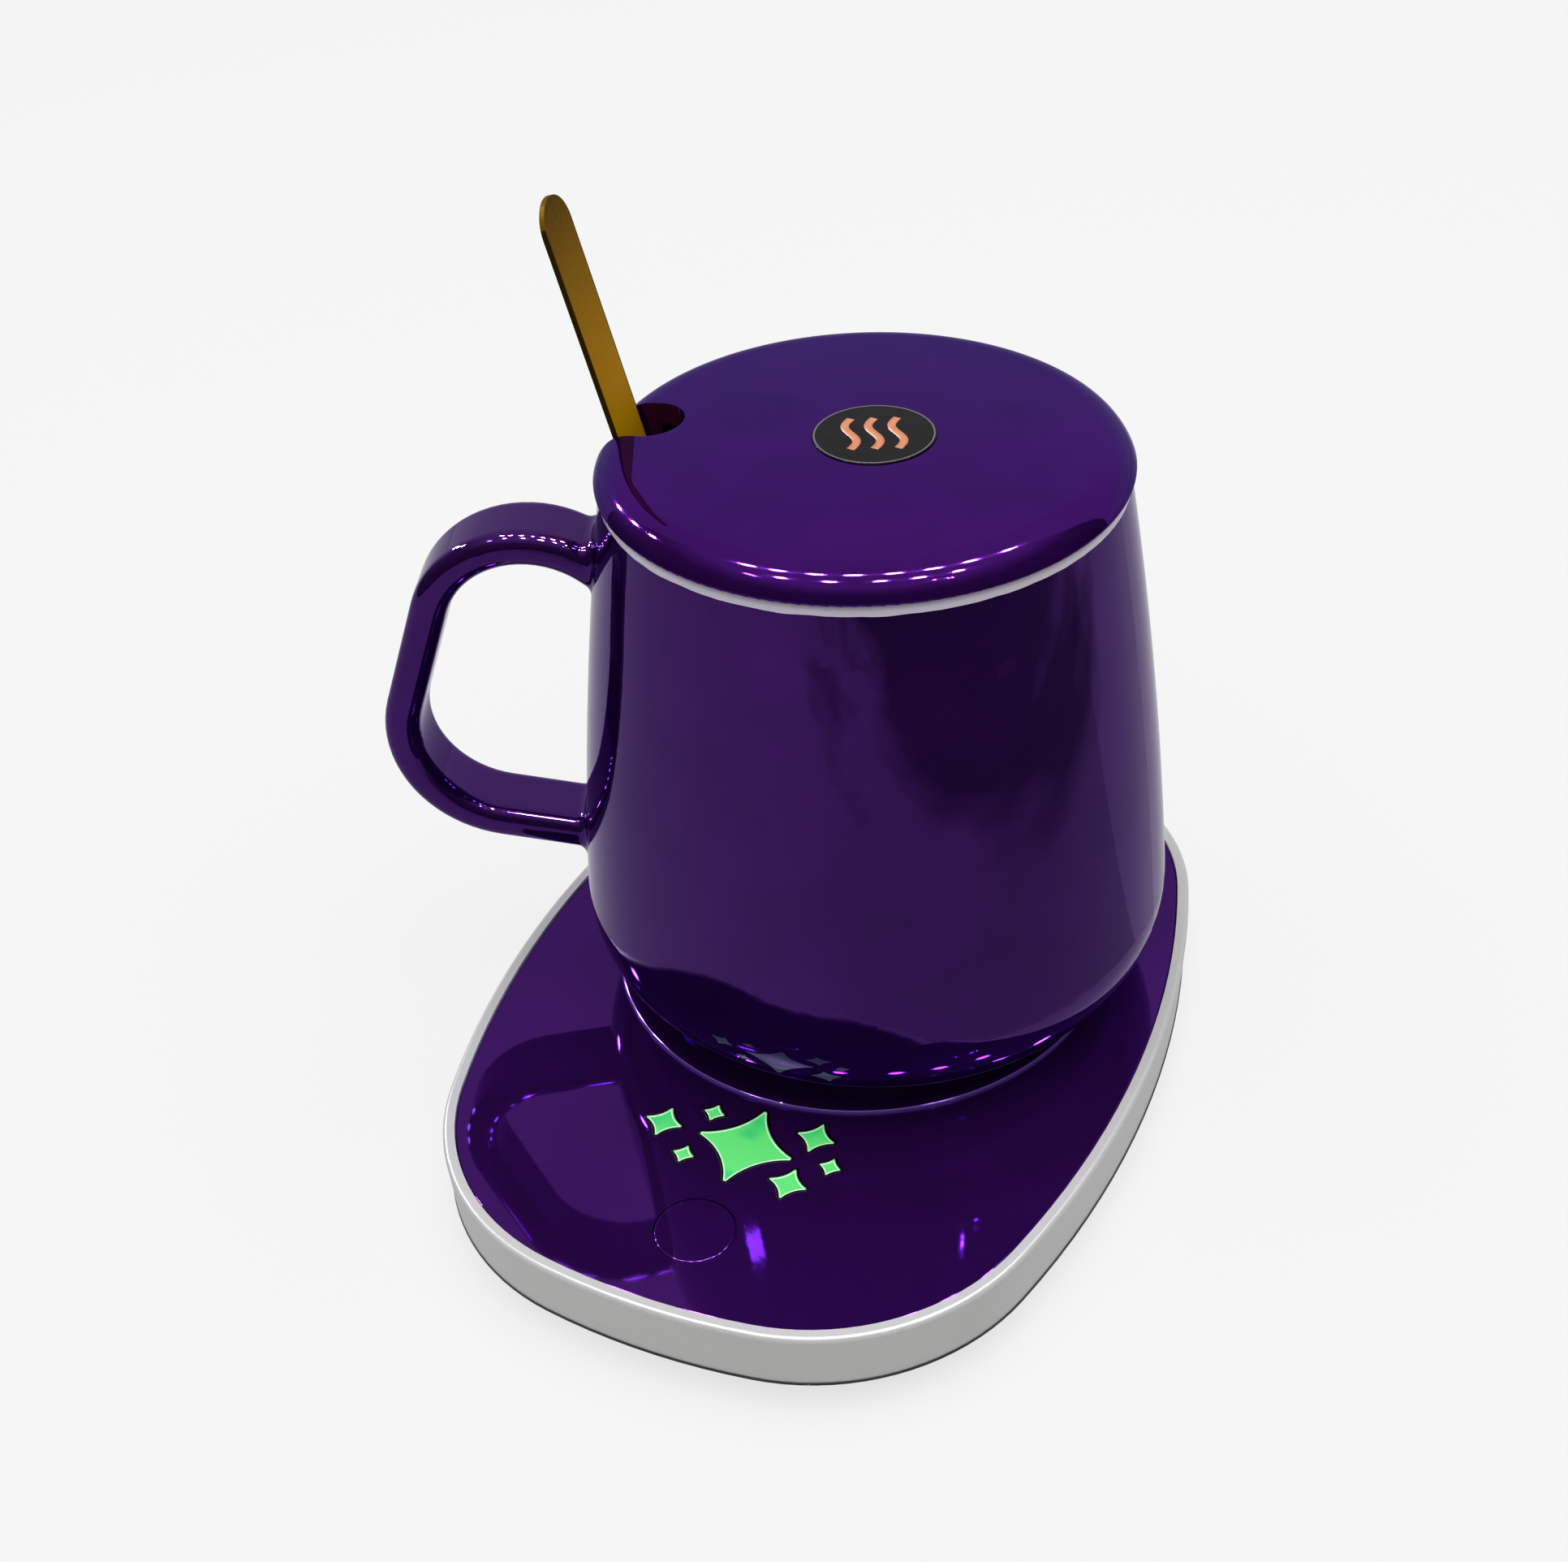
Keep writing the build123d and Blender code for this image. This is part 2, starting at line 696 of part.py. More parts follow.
switch_top = board_top + switch_height
plunger_top = switch_top + plunger_proud
plunger_bottom = switch_top - plunger_depth
with BuildPart() as tact_switch:
    with Locations((button_x, button_y, board_top)):
        Box(switch_size, switch_size, switch_height, align=on_base)
    with Locations((button_x, button_y, switch_top)):
        Cylinder(
            plunger_radius + plunger_fit,
            plunger_depth + button_travel + travel_spare,
            align=hanging,
            mode=Mode.SUBTRACT,
        )
tact_switch.part.label = "tact_switch"
export_step(tact_switch.part, "parts/tact_switch.step")

with BuildPart() as switch_plunger:
    with Locations((button_x, button_y, plunger_bottom)):
        Cylinder(plunger_radius, plunger_top - plunger_bottom, align=on_base)
switch_plunger.part.label = "switch_plunger"
export_step(switch_plunger.part, "parts/switch_plunger.step")

flange_top = panel_bottom - button_flange_gap
flange_bottom = flange_top - button_flange_thickness
with BuildPart() as button_cap:
    with Locations((button_x, button_y, flange_bottom)):
        Cylinder(button_hole_radius - button_fit, panel_top - flange_bottom, align=on_base)
    fillet(button_cap.edges().group_by(Axis.Z)[-1], button_edge_round)
    with Locations((button_x, button_y, flange_bottom)):
        Cylinder(button_hole_radius + button_flange, button_flange_thickness, align=on_base)
        Cylinder(button_stem_radius, flange_bottom - plunger_top, align=hanging)
button_cap.part.label = "button_cap"
export_step(button_cap.part, "parts/button_cap.step")

# Socket: block inside the housing, round nose through the wall, contact pin in its bore
with BuildPart() as power_inlet:
    with Locations((0, inlet_body_y - inlet_body_length / 2, inlet_height)):
        Box(inlet_body_width, inlet_body_length, inlet_body_height)
    with BuildSketch(Plane.XZ.offset(-inlet_body_y)):
        with Locations((0, inlet_height)):
            Circle(inlet_nose_radius)
    extrude(amount=inlet_body_y - inlet_nose_y)
    with BuildSketch(Plane.XZ.offset(-inlet_nose_y)):
        with Locations((0, inlet_height)):
            Circle(inlet_bore_radius)
            Circle(inlet_pin_radius, mode=Mode.SUBTRACT)
    extrude(amount=inlet_bore_depth, mode=Mode.SUBTRACT)
    with BuildSketch(Plane.XZ.offset(-inlet_nose_y)):
        with Locations((0, inlet_height)):
            Circle(inlet_pin_radius)
    extrude(amount=inlet_pin_setback, mode=Mode.SUBTRACT)
power_inlet.part.label = "power_inlet"
export_step(power_inlet.part, "parts/power_inlet.step")

lead_height = board_top + lead_radius
with BuildPart() as heater_leads:
    for side in (-0.5, 0.5):
        lead_x = heater_lead_x + side * heater_lead_spacing
        with BuildLine() as lead_path:
            FilletPolyline(
                (lead_x, board_rear_y - lead_overlap, lead_height),
                (lead_x, 0, lead_height),
                (lead_x, 0, film_bottom),
                radius=lead_bend,
            )
        with BuildSketch(Plane.XZ.offset(-(board_rear_y - lead_overlap))):
            with Locations((lead_x, lead_height)):
                Circle(lead_radius)
        sweep(path=lead_path.line)
heater_leads.part.label = "heater_leads"
export_step(heater_leads.part, "parts/heater_leads.step")

with BuildPart() as power_leads:
    with BuildSketch(Plane.XZ.offset(-(board_rear_y - lead_overlap))):
        with Locations((-power_lead_spacing / 2, lead_height), (power_lead_spacing / 2, lead_height)):
            Circle(lead_radius)
    extrude(amount=-(inlet_body_y - inlet_body_length - board_rear_y + lead_overlap))
power_leads.part.label = "power_leads"
export_step(power_leads.part, "parts/power_leads.step")

# Planes and axis of the mug where it stands on the plate
mug_axis = Axis((mug_stand_x, mug_stand_y, 0), (0, 0, 1))
mug_section = Plane((mug_stand_x, mug_stand_y, heater_top), x_dir=(1, 0, 0), z_dir=(0, -1, 0))


# Outer radius of the mug's side at a height, on the chord of its slightly bulging side
def side_chord(height):
    share = (height - belly_height) / (mug_height - belly_height)
    return belly_radius + share * (lip_radius - belly_radius)


side_middle = (belly_height + mug_height) / 2
inside_lip_radius = lip_radius - lip_thickness
inside_belly_radius = belly_radius - mug_wall
handle_way = (cos(radians(handle_bearing)), sin(radians(handle_bearing)), 0)
handle_across = (sin(radians(handle_bearing)), -cos(radians(handle_bearing)), 0)
handle_plane = Plane((mug_stand_x, mug_stand_y, heater_top), x_dir=handle_way, z_dir=handle_across)

with BuildPart() as mug_body:
    with BuildSketch(mug_section):
        with BuildLine():
            side_line = ThreePointArc(
                (lip_radius, mug_height),
                (side_chord(side_middle) + side_bulge, side_middle),
                (belly_radius, belly_height),
            )
            TangentArc(side_line @ 1, (foot_ring_radius, foot_ring_height), tangent=side_line % 1)
            Polyline(
                (foot_ring_radius, foot_ring_height),
                (foot_ring_radius - foot_ring_height / 2, 0),
                (foot_ring_radius - foot_ring_width, 0),
                (foot_ring_radius - foot_ring_width - foot_ring_recess, foot_ring_recess),
                (0, foot_ring_recess),
                (0, mug_height),
                (lip_radius, mug_height),
            )
        make_face()
    revolve(axis=mug_axis)
    with BuildLine(handle_plane) as handle_line:
        FilletPolyline(
            (side_chord(handle_top_height) - handle_root_sink, handle_top_height),
            (belly_radius + handle_shoulder_reach, handle_shoulder_height),
            (belly_radius + handle_knee_reach, handle_knee_height),
            (side_chord(handle_bottom_height) - handle_root_sink, handle_bottom_height),
            radius=(handle_shoulder_radius, handle_knee_radius),
        )
    with BuildSketch(Plane(handle_line.line @ 0, x_dir=handle_across, z_dir=handle_line.line % 0)):
        RectangleRounded(handle_width, handle_thickness, handle_round)
    sweep(path=handle_line.line)
    fillet(mug_body.edges(Select.NEW), handle_blend)
    with BuildSketch(mug_section) as hollow:
        with BuildLine():
            Polyline(
                (0, mug_height),
                (inside_lip_radius, mug_height),
                (inside_belly_radius, belly_height),
                (inside_belly_radius, mug_floor),
                (0, mug_floor),
                close=True,
            )
        make_face()
        floor_corner = hollow.vertices().sort_by_distance((inside_belly_radius, mug_floor, 0))[0]
        fillet(floor_corner, inside_corner)
    revolve(axis=mug_axis, mode=Mode.SUBTRACT)
    fillet(mug_body.edges().group_by(Axis.Z)[-1], lip_round)
mug_body.part.label = "mug_body"
export_step(mug_body.part, "parts/mug_body.step")

# Lid: domed cap on the lip, with a ring that keeps it in the mouth and an open notch for the spoon
lid_bottom = mug_height + lid_gap
lid_edge = lid_bottom + lid_edge_height
lid_shoulder = lid_edge + lid_shoulder_rise
lid_shoulder_radius = lid_radius - lid_shoulder_width
lid_top = lid_shoulder + lid_crown
lid_under = lid_top - lid_thickness
crown_radius = (lid_shoulder_radius**2 + lid_crown**2) / (2 * lid_crown)
crown_middle = lid_top - crown_radius + sqrt(crown_radius**2 - (lid_shoulder_radius / 2) ** 2)
lid_ring_bottom = lid_bottom - lid_ring_depth
lid_ring_radius = inside_lip_radius - lid_ring_gap
lid_ring_inside = lid_ring_radius - lid_ring_thickness
notch_way = (cos(radians(notch_bearing)), sin(radians(notch_bearing)), 0)
notch_half = notch_width / 2
notch_inner = lid_radius - notch_depth
notch_centre = notch_inner + notch_half
flare_start = lid_radius - notch_mouth_radius
flare_half = notch_half + notch_mouth_radius
notch_outside = lid_radius + notch_mouth_radius

with BuildPart() as lid:
    with BuildSketch(mug_section) as lid_profile:
        with BuildLine():
            Polyline(
                (0, lid_under),
                (lid_ring_inside, lid_under),
                (lid_ring_inside, lid_ring_bottom),
                (lid_ring_radius, lid_ring_bottom),
                (lid_ring_radius, lid_bottom),
                (lid_radius, lid_bottom),
                (lid_radius, lid_edge),
            )
            crown = ThreePointArc(
                (0, lid_top),
                (lid_shoulder_radius / 2, crown_middle),
                (lid_shoulder_radius, lid_shoulder),
            )
            TangentArc(crown @ 1, (lid_radius, lid_edge), tangent=crown % 1)
            Line((0, lid_top), (0, lid_under))
        make_face()
        fillet(lid_profile.vertices().sort_by_distance((lid_radius, lid_bottom, 0))[0], lid_foot_round)
    revolve(axis=mug_axis)
    with BuildSketch(Plane((mug_stand_x, mug_stand_y, heater_top + lid_ring_bottom), x_dir=notch_way)):
        with BuildLine():
            ThreePointArc((notch_centre, notch_half), (notch_inner, 0), (notch_centre, -notch_half))
            Line((notch_centre, -notch_half), (flare_start, -notch_half))
            CenterArc((flare_start, -flare_half), notch_mouth_radius, 0, 90)
            Polyline(
                (lid_radius, -flare_half),
                (notch_outside, -flare_half),
                (notch_outside, flare_half),
                (lid_radius, flare_half),
            )
            CenterArc((flare_start, flare_half), notch_mouth_radius, -90, 90)
            Line((flare_start, notch_half), (notch_centre, notch_half))
        make_face()
    extrude(amount=lid_top - lid_ring_bottom, mode=Mode.SUBTRACT)
    with BuildSketch(Plane((mug_stand_x + badge_offset_x, mug_stand_y, heater_top + lid_top))):
        Circle(badge_radius + badge_gap)
    extrude(amount=badge_proud - badge_thickness, mode=Mode.SUBTRACT)
lid.part.label = "lid"
export_step(lid.part, "parts/lid.step")

with BuildPart() as lid_badge:
    with Locations((mug_stand_x + badge_offset_x, mug_stand_y, heater_top + lid_top + badge_proud)):
        Cylinder(badge_radius, badge_thickness, align=hanging)
    fillet(lid_badge.edges().group_by(Axis.Z)[-1], badge_proud)
lid_badge.part.label = "lid_badge"
export_step(lid_badge.part, "parts/lid_badge.step")

# Spoon: leans outwards in the notch's own upright plane, its back just clear of the lip
lean = radians(spoon_lean)
spoon_across = (sin(radians(notch_bearing)), -cos(radians(notch_bearing)), 0)
spoon_normal = (-cos(lean) * notch_way[0], -cos(lean) * notch_way[1], sin(lean))
spoon_back = sqrt(inside_lip_radius**2 - (spoon_width / 2) ** 2) - spoon_lip_gap
spoon_tip_height = mug_floor + spoon_floor_gap + spoon_thickness
spoon_lip_reach = spoon_back - spoon_thickness / 2 / cos(lean)
spoon_tip_reach = spoon_lip_reach - (mug_height - spoon_tip_height) * tan(lean)
spoon_plane = Plane(
    (
        mug_stand_x + spoon_tip_reach * notch_way[0],
        mug_stand_y + spoon_tip_reach * notch_way[1],
        heater_top + spoon_tip_height,
    ),
    x_dir=spoon_across,
    z_dir=spoon_normal,
)
bowl_half = bowl_length / 2
bowl_centre_rise = sqrt(bowl_curve**2 - bowl_half**2)
neck_top = bowl_length + neck_length
neck_dip = neck_width / 2

with BuildPart() as spoon:
    with BuildSketch(spoon_plane):
        with Locations((0, bowl_half)):
            Ellipse(bowl_width / 2, bowl_half)
    extrude(amount=bowl_curve, both=True)
    with Locations(spoon_plane.offset(bowl_centre_rise)):
        with Locations((0, bowl_half, 0)):
            Sphere(bowl_curve + spoon_thickness / 2, mode=Mode.INTERSECT)
            Sphere(bowl_curve - spoon_thickness / 2, mode=Mode.SUBTRACT)
    with BuildSketch(spoon_plane.offset(-spoon_thickness / 2)):
        with BuildLine():
            Line((-neck_width / 2, bowl_length - neck_dip), (-neck_width / 2, bowl_length))
            Spline(
                (-neck_width / 2, bowl_length),
                (-spoon_width / 2, neck_top),
                tangents=((0, 1), (0, 1)),
            )
            Line((-spoon_width / 2, neck_top), (-spoon_width / 2, spoon_length - spoon_width / 2))
            ThreePointArc(
                (-spoon_width / 2, spoon_length - spoon_width / 2),
                (0, spoon_length),
                (spoon_width / 2, spoon_length - spoon_width / 2),
            )
            Line((spoon_width / 2, spoon_length - spoon_width / 2), (spoon_width / 2, neck_top))
            Spline(
                (spoon_width / 2, neck_top),
                (neck_width / 2, bowl_length),
                tangents=((0, -1), (0, -1)),
            )
            Polyline(
                (neck_width / 2, bowl_length),
                (neck_width / 2, bowl_length - neck_dip),
                (-neck_width / 2, bowl_length - neck_dip),
            )
        make_face()
    extrude(amount=spoon_thickness)
spoon.part.label = "spoon"
export_step(spoon.part, "parts/spoon.step")
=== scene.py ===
import json
import math

import bmesh
import bpy
from mathutils import Matrix, Vector


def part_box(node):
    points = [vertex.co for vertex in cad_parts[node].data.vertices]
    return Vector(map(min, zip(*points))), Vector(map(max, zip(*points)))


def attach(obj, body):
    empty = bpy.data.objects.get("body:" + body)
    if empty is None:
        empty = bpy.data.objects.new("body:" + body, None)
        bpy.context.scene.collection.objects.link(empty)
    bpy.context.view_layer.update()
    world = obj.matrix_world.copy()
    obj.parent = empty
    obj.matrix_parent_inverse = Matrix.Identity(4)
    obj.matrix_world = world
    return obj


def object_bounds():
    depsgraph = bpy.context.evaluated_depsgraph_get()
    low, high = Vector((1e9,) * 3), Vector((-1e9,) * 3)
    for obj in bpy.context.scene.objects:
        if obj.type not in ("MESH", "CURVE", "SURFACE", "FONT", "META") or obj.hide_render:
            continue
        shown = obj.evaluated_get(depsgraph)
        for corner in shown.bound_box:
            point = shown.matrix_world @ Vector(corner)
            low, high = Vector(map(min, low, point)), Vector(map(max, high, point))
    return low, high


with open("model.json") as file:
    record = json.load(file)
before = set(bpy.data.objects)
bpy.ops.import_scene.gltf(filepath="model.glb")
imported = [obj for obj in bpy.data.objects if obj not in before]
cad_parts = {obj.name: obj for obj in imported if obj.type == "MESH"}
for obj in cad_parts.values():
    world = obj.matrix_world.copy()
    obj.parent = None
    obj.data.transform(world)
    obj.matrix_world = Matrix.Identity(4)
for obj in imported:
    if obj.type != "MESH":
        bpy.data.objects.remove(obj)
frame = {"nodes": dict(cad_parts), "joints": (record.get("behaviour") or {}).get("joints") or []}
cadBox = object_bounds()
nodes = frame["nodes"]
mm = 0.001
up = Vector((0, 0, 1))
levelOnly = (1, 1, 0)  # a factor that drops the height

# heights and centres that the finishes follow, read from the frame
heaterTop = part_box("heating_plate")[1].z
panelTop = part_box("top_panel")[1].z
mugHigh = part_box("mug_body")[1]
lidLow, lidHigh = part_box("lid")
badgeLow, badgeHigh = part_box("lid_badge")
plateLow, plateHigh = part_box("heating_plate")
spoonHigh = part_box("spoon")[1]
lidReach = (lidHigh.y - lidLow.y) / 2
lidMiddle = (lidLow.y + lidHigh.y) / 2
lidAxis = Vector((lidHigh.x - lidReach, lidMiddle, lidHigh.z))  # measured from the side without the notch
badgeAxis = (badgeLow + badgeHigh) / 2


def hexColour(code):  # sRGB hex to linear RGBA
    parts = [int(code[place:place + 2], 16) / 255 for place in (1, 3, 5)]
    linear = [part / 12.92 if part <= 0.04045 else ((part + 0.055) / 1.055) ** 2.4 for part in parts]
    return (*linear, 1.0)


def toneStops(dark, light, first=0.3, last=0.7):  # ramp from dark to light over the usual range of a noise
    return [(first, hexColour(dark)), (last, hexColour(light))]


def addNode(tree, kind, inputs=None, stops=None, **settings):  # one node with its settings, values and links
    node = tree.nodes.new(kind)
    for name, value in settings.items():
        setattr(node, name, value)
    for name, value in (inputs or {}).items():
        if isinstance(value, bpy.types.NodeSocket):
            tree.links.new(value, node.inputs[name])
        else:
            node.inputs[name].default_value = value
    if stops:
        ramp = node.color_ramp.elements
        while len(ramp) < len(stops):
            ramp.new(1.0)
        for stop, (place, colour) in zip(ramp, stops):
            stop.position = place
            stop.color = colour
    return node


def newFinish(name, **constants):  # an empty material with one Principled shader, constants on its own sockets
    material = bpy.data.materials.new(name)
    material.use_nodes = True
    tree = material.node_tree
    tree.nodes.clear()
    shader = addNode(tree, "ShaderNodeBsdfPrincipled")
    addNode(tree, "ShaderNodeOutputMaterial", {"Surface": shader.outputs["BSDF"]})
    for socket, value in constants.items():
        shader.inputs[socket].default_value = value
    return material, tree, shader


def dress(node, material):  # the finish of a CAD node
    slots = nodes[node].data.materials
    slots.clear()
    slots.append(material)


# lustre glaze on stoneware: a dark purple mirror whose reflections take its own colour
glaze = {
    # edge: the mirror's colour at a flat angle; skin: share of the clear layer that greys it a little
    "lid": {"thick": "#400f6a", "thin": "#491376", "edge": "#a58cc8", "skin": 0.1},
    "mug": {"thick": "#3b1060", "thin": "#43146b", "edge": "#c4b4dc", "skin": 0.5},
    "ior": 1.35,
    "lustre": 0.82,
    "bare": "#efe8f7",  # white slip inside and on the lip
    "clay": "#cfc4b4",  # unglazed foot
    "lipBand": 1.5 * mm,
    "lipRipple": 6 * mm,  # the glaze line below the lip wanders over this length
    "lipWander": 0.4 * mm,
    "footBand": 0.9 * mm,
    "pooling": 14 * mm,  # how far apart thick and thin patches of glaze lie
    "peel": 2.2 * mm,  # ripple of the glaze skin
    "peelDepth": 0.02 * mm,
    "peelStrength": 0.5,
    "mugGloss": 0.04,
    "footMatt": 0.6,  # roughness that the bare foot adds
    "lidGloss": (0.03, 0.08),
    "wallReach": 50 * mm,
    # middle of the mug's wall from floor to lip: share of its height, share of wallReach
    "wallMiddle": [(0.066, 0.74), (0.128, 0.897), (0.214, 0.936), (1.0, 0.774)],
}
clearSkin = {"Coat IOR": 1.25, "Coat Roughness": 0.03}  # thin clear layer on glaze and panel


def bareParts(tree, place):  # masks of the white slip, told from the glaze by the middle of the wall, and of the foot
    fromAxis = addNode(tree, "ShaderNodeVectorMath", {0: place, 1: (lidAxis.x, lidAxis.y, heaterTop)},
                       operation="SUBTRACT").outputs["Vector"]
    height = addNode(tree, "ShaderNodeSeparateXYZ", {"Vector": fromAxis}).outputs["Z"]
    flat = addNode(tree, "ShaderNodeVectorMath", {0: fromAxis, 1: levelOnly}, operation="MULTIPLY")
    reach = addNode(tree, "ShaderNodeVectorMath", {0: flat.outputs["Vector"]}, operation="LENGTH")
    mugTop = mugHigh.z - heaterTop
    share = addNode(tree, "ShaderNodeMath", {0: height, 1: mugTop}, operation="DIVIDE")
    wallStops = [(rise, (middle, middle, middle, 1)) for rise, middle in glaze["wallMiddle"]]
    wall = addNode(tree, "ShaderNodeValToRGB", {"Fac": share.outputs[0]}, stops=wallStops)
    within = addNode(tree, "ShaderNodeMath", {0: reach.outputs["Value"], 1: glaze["wallReach"]},
                     operation="DIVIDE")
    inside = addNode(tree, "ShaderNodeMath", {0: wall.outputs["Color"], 1: within.outputs[0]},
                     operation="GREATER_THAN")
    ripple = addNode(tree, "ShaderNodeTexNoise", {"Vector": place, "Scale": 1 / glaze["lipRipple"],
                                                  "Detail": 2.0})
    wave = addNode(tree, "ShaderNodeMath", {0: ripple.outputs["Fac"], 1: glaze["lipWander"], 2: height},
                   operation="MULTIPLY_ADD")
    lipStart = mugTop - glaze["lipBand"] + glaze["lipWander"] / 2
    lip = addNode(tree, "ShaderNodeMath", {0: wave.outputs[0], 1: lipStart}, operation="GREATER_THAN")
    bare = addNode(tree, "ShaderNodeMath", {0: inside.outputs[0], 1: lip.outputs[0]}, operation="MAXIMUM")
    foot = addNode(tree, "ShaderNodeMath", {0: height, 1: glaze["footBand"]}, operation="LESS_THAN")
    return bare.outputs[0], foot.outputs[0]


def glazedStoneware(name, body):
    coat = glaze["mug" if body else "lid"]
    material, tree, shader = newFinish(name, IOR=glaze["ior"], Metallic=glaze["lustre"], **clearSkin,
                                       **{"Specular Tint": hexColour(coat["edge"]), "Coat Weight": coat["skin"]})
    place = addNode(tree, "ShaderNodeTexCoord").outputs["Object"]
    pool = addNode(tree, "ShaderNodeTexNoise", {"Vector": place, "Scale": 1 / glaze["pooling"], "Detail": 3.0})
    colour = addNode(tree, "ShaderNodeValToRGB", {"Fac": pool.outputs["Fac"]},
                     stops=toneStops(coat["thick"], coat["thin"])).outputs["Color"]
    if body:
        bare, foot = bareParts(tree, place)
        for mask, tone in ((bare, glaze["bare"]), (foot, glaze["clay"])):
            colour = addNode(tree, "ShaderNodeMix", {0: mask, 6: colour, 7: hexColour(tone)},
                             data_type="RGBA").outputs[2]
        gloss = addNode(tree, "ShaderNodeMath", {0: foot, 1: glaze["footMatt"], 2: glaze["mugGloss"]},
                        operation="MULTIPLY_ADD").outputs[0]
        matt = addNode(tree, "ShaderNodeMath", {0: bare, 1: foot}, operation="MAXIMUM").outputs[0]
        lustre = addNode(tree, "ShaderNodeMath", {0: matt, 1: -glaze["lustre"], 2: glaze["lustre"]},
                         operation="MULTIPLY_ADD").outputs[0]
        tree.links.new(lustre, shader.inputs["Metallic"])
    else:
        smooth, rough = glaze["lidGloss"]
        gloss = addNode(tree, "ShaderNodeMapRange", {"Value": pool.outputs["Fac"], "To Min": smooth,
                                                     "To Max": rough}).outputs["Result"]
    peel = addNode(tree, "ShaderNodeTexNoise", {"Vector": place, "Scale": 1 / glaze["peel"], "Detail": 1.0})
    bump = addNode(tree, "ShaderNodeBump", {"Height": peel.outputs["Fac"], "Distance": glaze["peelDepth"],
                                            "Strength": glaze["peelStrength"]})
    tree.links.new(colour, shader.inputs["Base Color"])
    tree.links.new(gloss, shader.inputs["Roughness"])
    tree.links.new(bump.outputs["Normal"], shader.inputs["Normal"])
    return material


dress("mug_body", glazedStoneware("glazed_stoneware_mug", True))
dress("lid", glazedStoneware("glazed_stoneware_lid", False))
print("mug and lid glazed")

# cast acrylic: a deep gloss panel, tinted through, with the faint waves of a polished sheet
panel = {"deep": "#3f1364", "bright": "#481670", "edge": "#9460e0", "ior": 1.35, "gloss": 0.035, "lustre": 0.6,
         "skin": 0.12, "waves": 30 * mm, "waveDepth": 0.01 * mm, "waveStrength": 0.3}


def castAcrylic():
    material, tree, shader = newFinish("cast_acrylic_purple", IOR=panel["ior"], Roughness=panel["gloss"],
                                       Metallic=panel["lustre"], **clearSkin,
                                       **{"Specular Tint": hexColour(panel["edge"]), "Coat Weight": panel["skin"]})
    place = addNode(tree, "ShaderNodeTexCoord").outputs["Object"]
    waves = addNode(tree, "ShaderNodeTexNoise", {"Vector": place, "Scale": 1 / panel["waves"], "Detail": 2.0})
    colour = addNode(tree, "ShaderNodeValToRGB", {"Fac": waves.outputs["Fac"]},
                     stops=toneStops(panel["deep"], panel["bright"]))
    bump = addNode(tree, "ShaderNodeBump", {"Height": waves.outputs["Fac"], "Distance": panel["waveDepth"],
                                            "Strength": panel["waveStrength"]})
    tree.links.new(colour.outputs["Color"], shader.inputs["Base Color"])
    tree.links.new(bump.outputs["Normal"], shader.inputs["Normal"])
    return material


acrylic = castAcrylic()
dress("top_panel", acrylic)
dress("button_cap", acrylic)

# stoved enamel on aluminium: the heating plate, with a painted highlight on its turned edge
plate = {
    "deep": "#3c115e", "bright": "#441468", "highlightTone": "#8a5fc6", "edge": "#9a80c0",
    "ior": 1.35,
    "lustre": 0.6,
    "gloss": (0.05, 0.1),
    "highlightBand": 0.3 * mm,
    "turning": 0.8 * mm,  # rings of the lathe, drawn coarser than real ones so that they show
    "waveFactor": 20,  # a wave texture draws this much finer than its scale says
    "wobble": 1.5,
}


def stovedEnamel():
    material, tree, shader = newFinish("stoved_enamel_purple", IOR=plate["ior"], Metallic=plate["lustre"],
                                       **{"Specular Tint": hexColour(plate["edge"])})
    place = addNode(tree, "ShaderNodeTexCoord").outputs["Object"]
    flat = addNode(tree, "ShaderNodeVectorMath", {0: place, 1: levelOnly}, operation="MULTIPLY")
    reach = addNode(tree, "ShaderNodeVectorMath", {0: flat.outputs["Vector"]}, operation="LENGTH")
    rings = addNode(tree, "ShaderNodeTexWave",
                    {"Vector": place, "Scale": 1 / (plate["waveFactor"] * plate["turning"]),
                     "Distortion": plate["wobble"], "Detail": 2.0}, wave_type="RINGS", rings_direction="Z")
    colour = addNode(tree, "ShaderNodeValToRGB", {"Fac": rings.outputs["Fac"]},
                     stops=toneStops(plate["deep"], plate["bright"], 0.2, 0.8))
    plateReach = (plateHigh.x - plateLow.x) / 2
    # painted highlight: a bright ring painted round the plate's outer edge
    edge = addNode(tree, "ShaderNodeMath", {0: reach.outputs["Value"], 1: plateReach - plate["highlightBand"]},
                   operation="GREATER_THAN")
    mixed = addNode(tree, "ShaderNodeMix", {0: edge.outputs[0], 6: colour.outputs["Color"],
                                            7: hexColour(plate["highlightTone"])}, data_type="RGBA")
    smooth, rough = plate["gloss"]
    gloss = addNode(tree, "ShaderNodeMapRange", {"Value": rings.outputs["Fac"], "To Min": smooth,
                                                 "To Max": rough})
    tree.links.new(mixed.outputs[2], shader.inputs["Base Color"])
    tree.links.new(gloss.outputs["Result"], shader.inputs["Roughness"])
    return material


dress("heating_plate", stovedEnamel())
print("panel, button and plate finished")

# moulded plastics, rubber, felt, film, board and metals: a fine two-tone grain with its own bump,
# on the plastics drawn coarser than the tool's real texture so that it shows
grainLook = {"glossSpread": 0.06, "strength": 0.4}


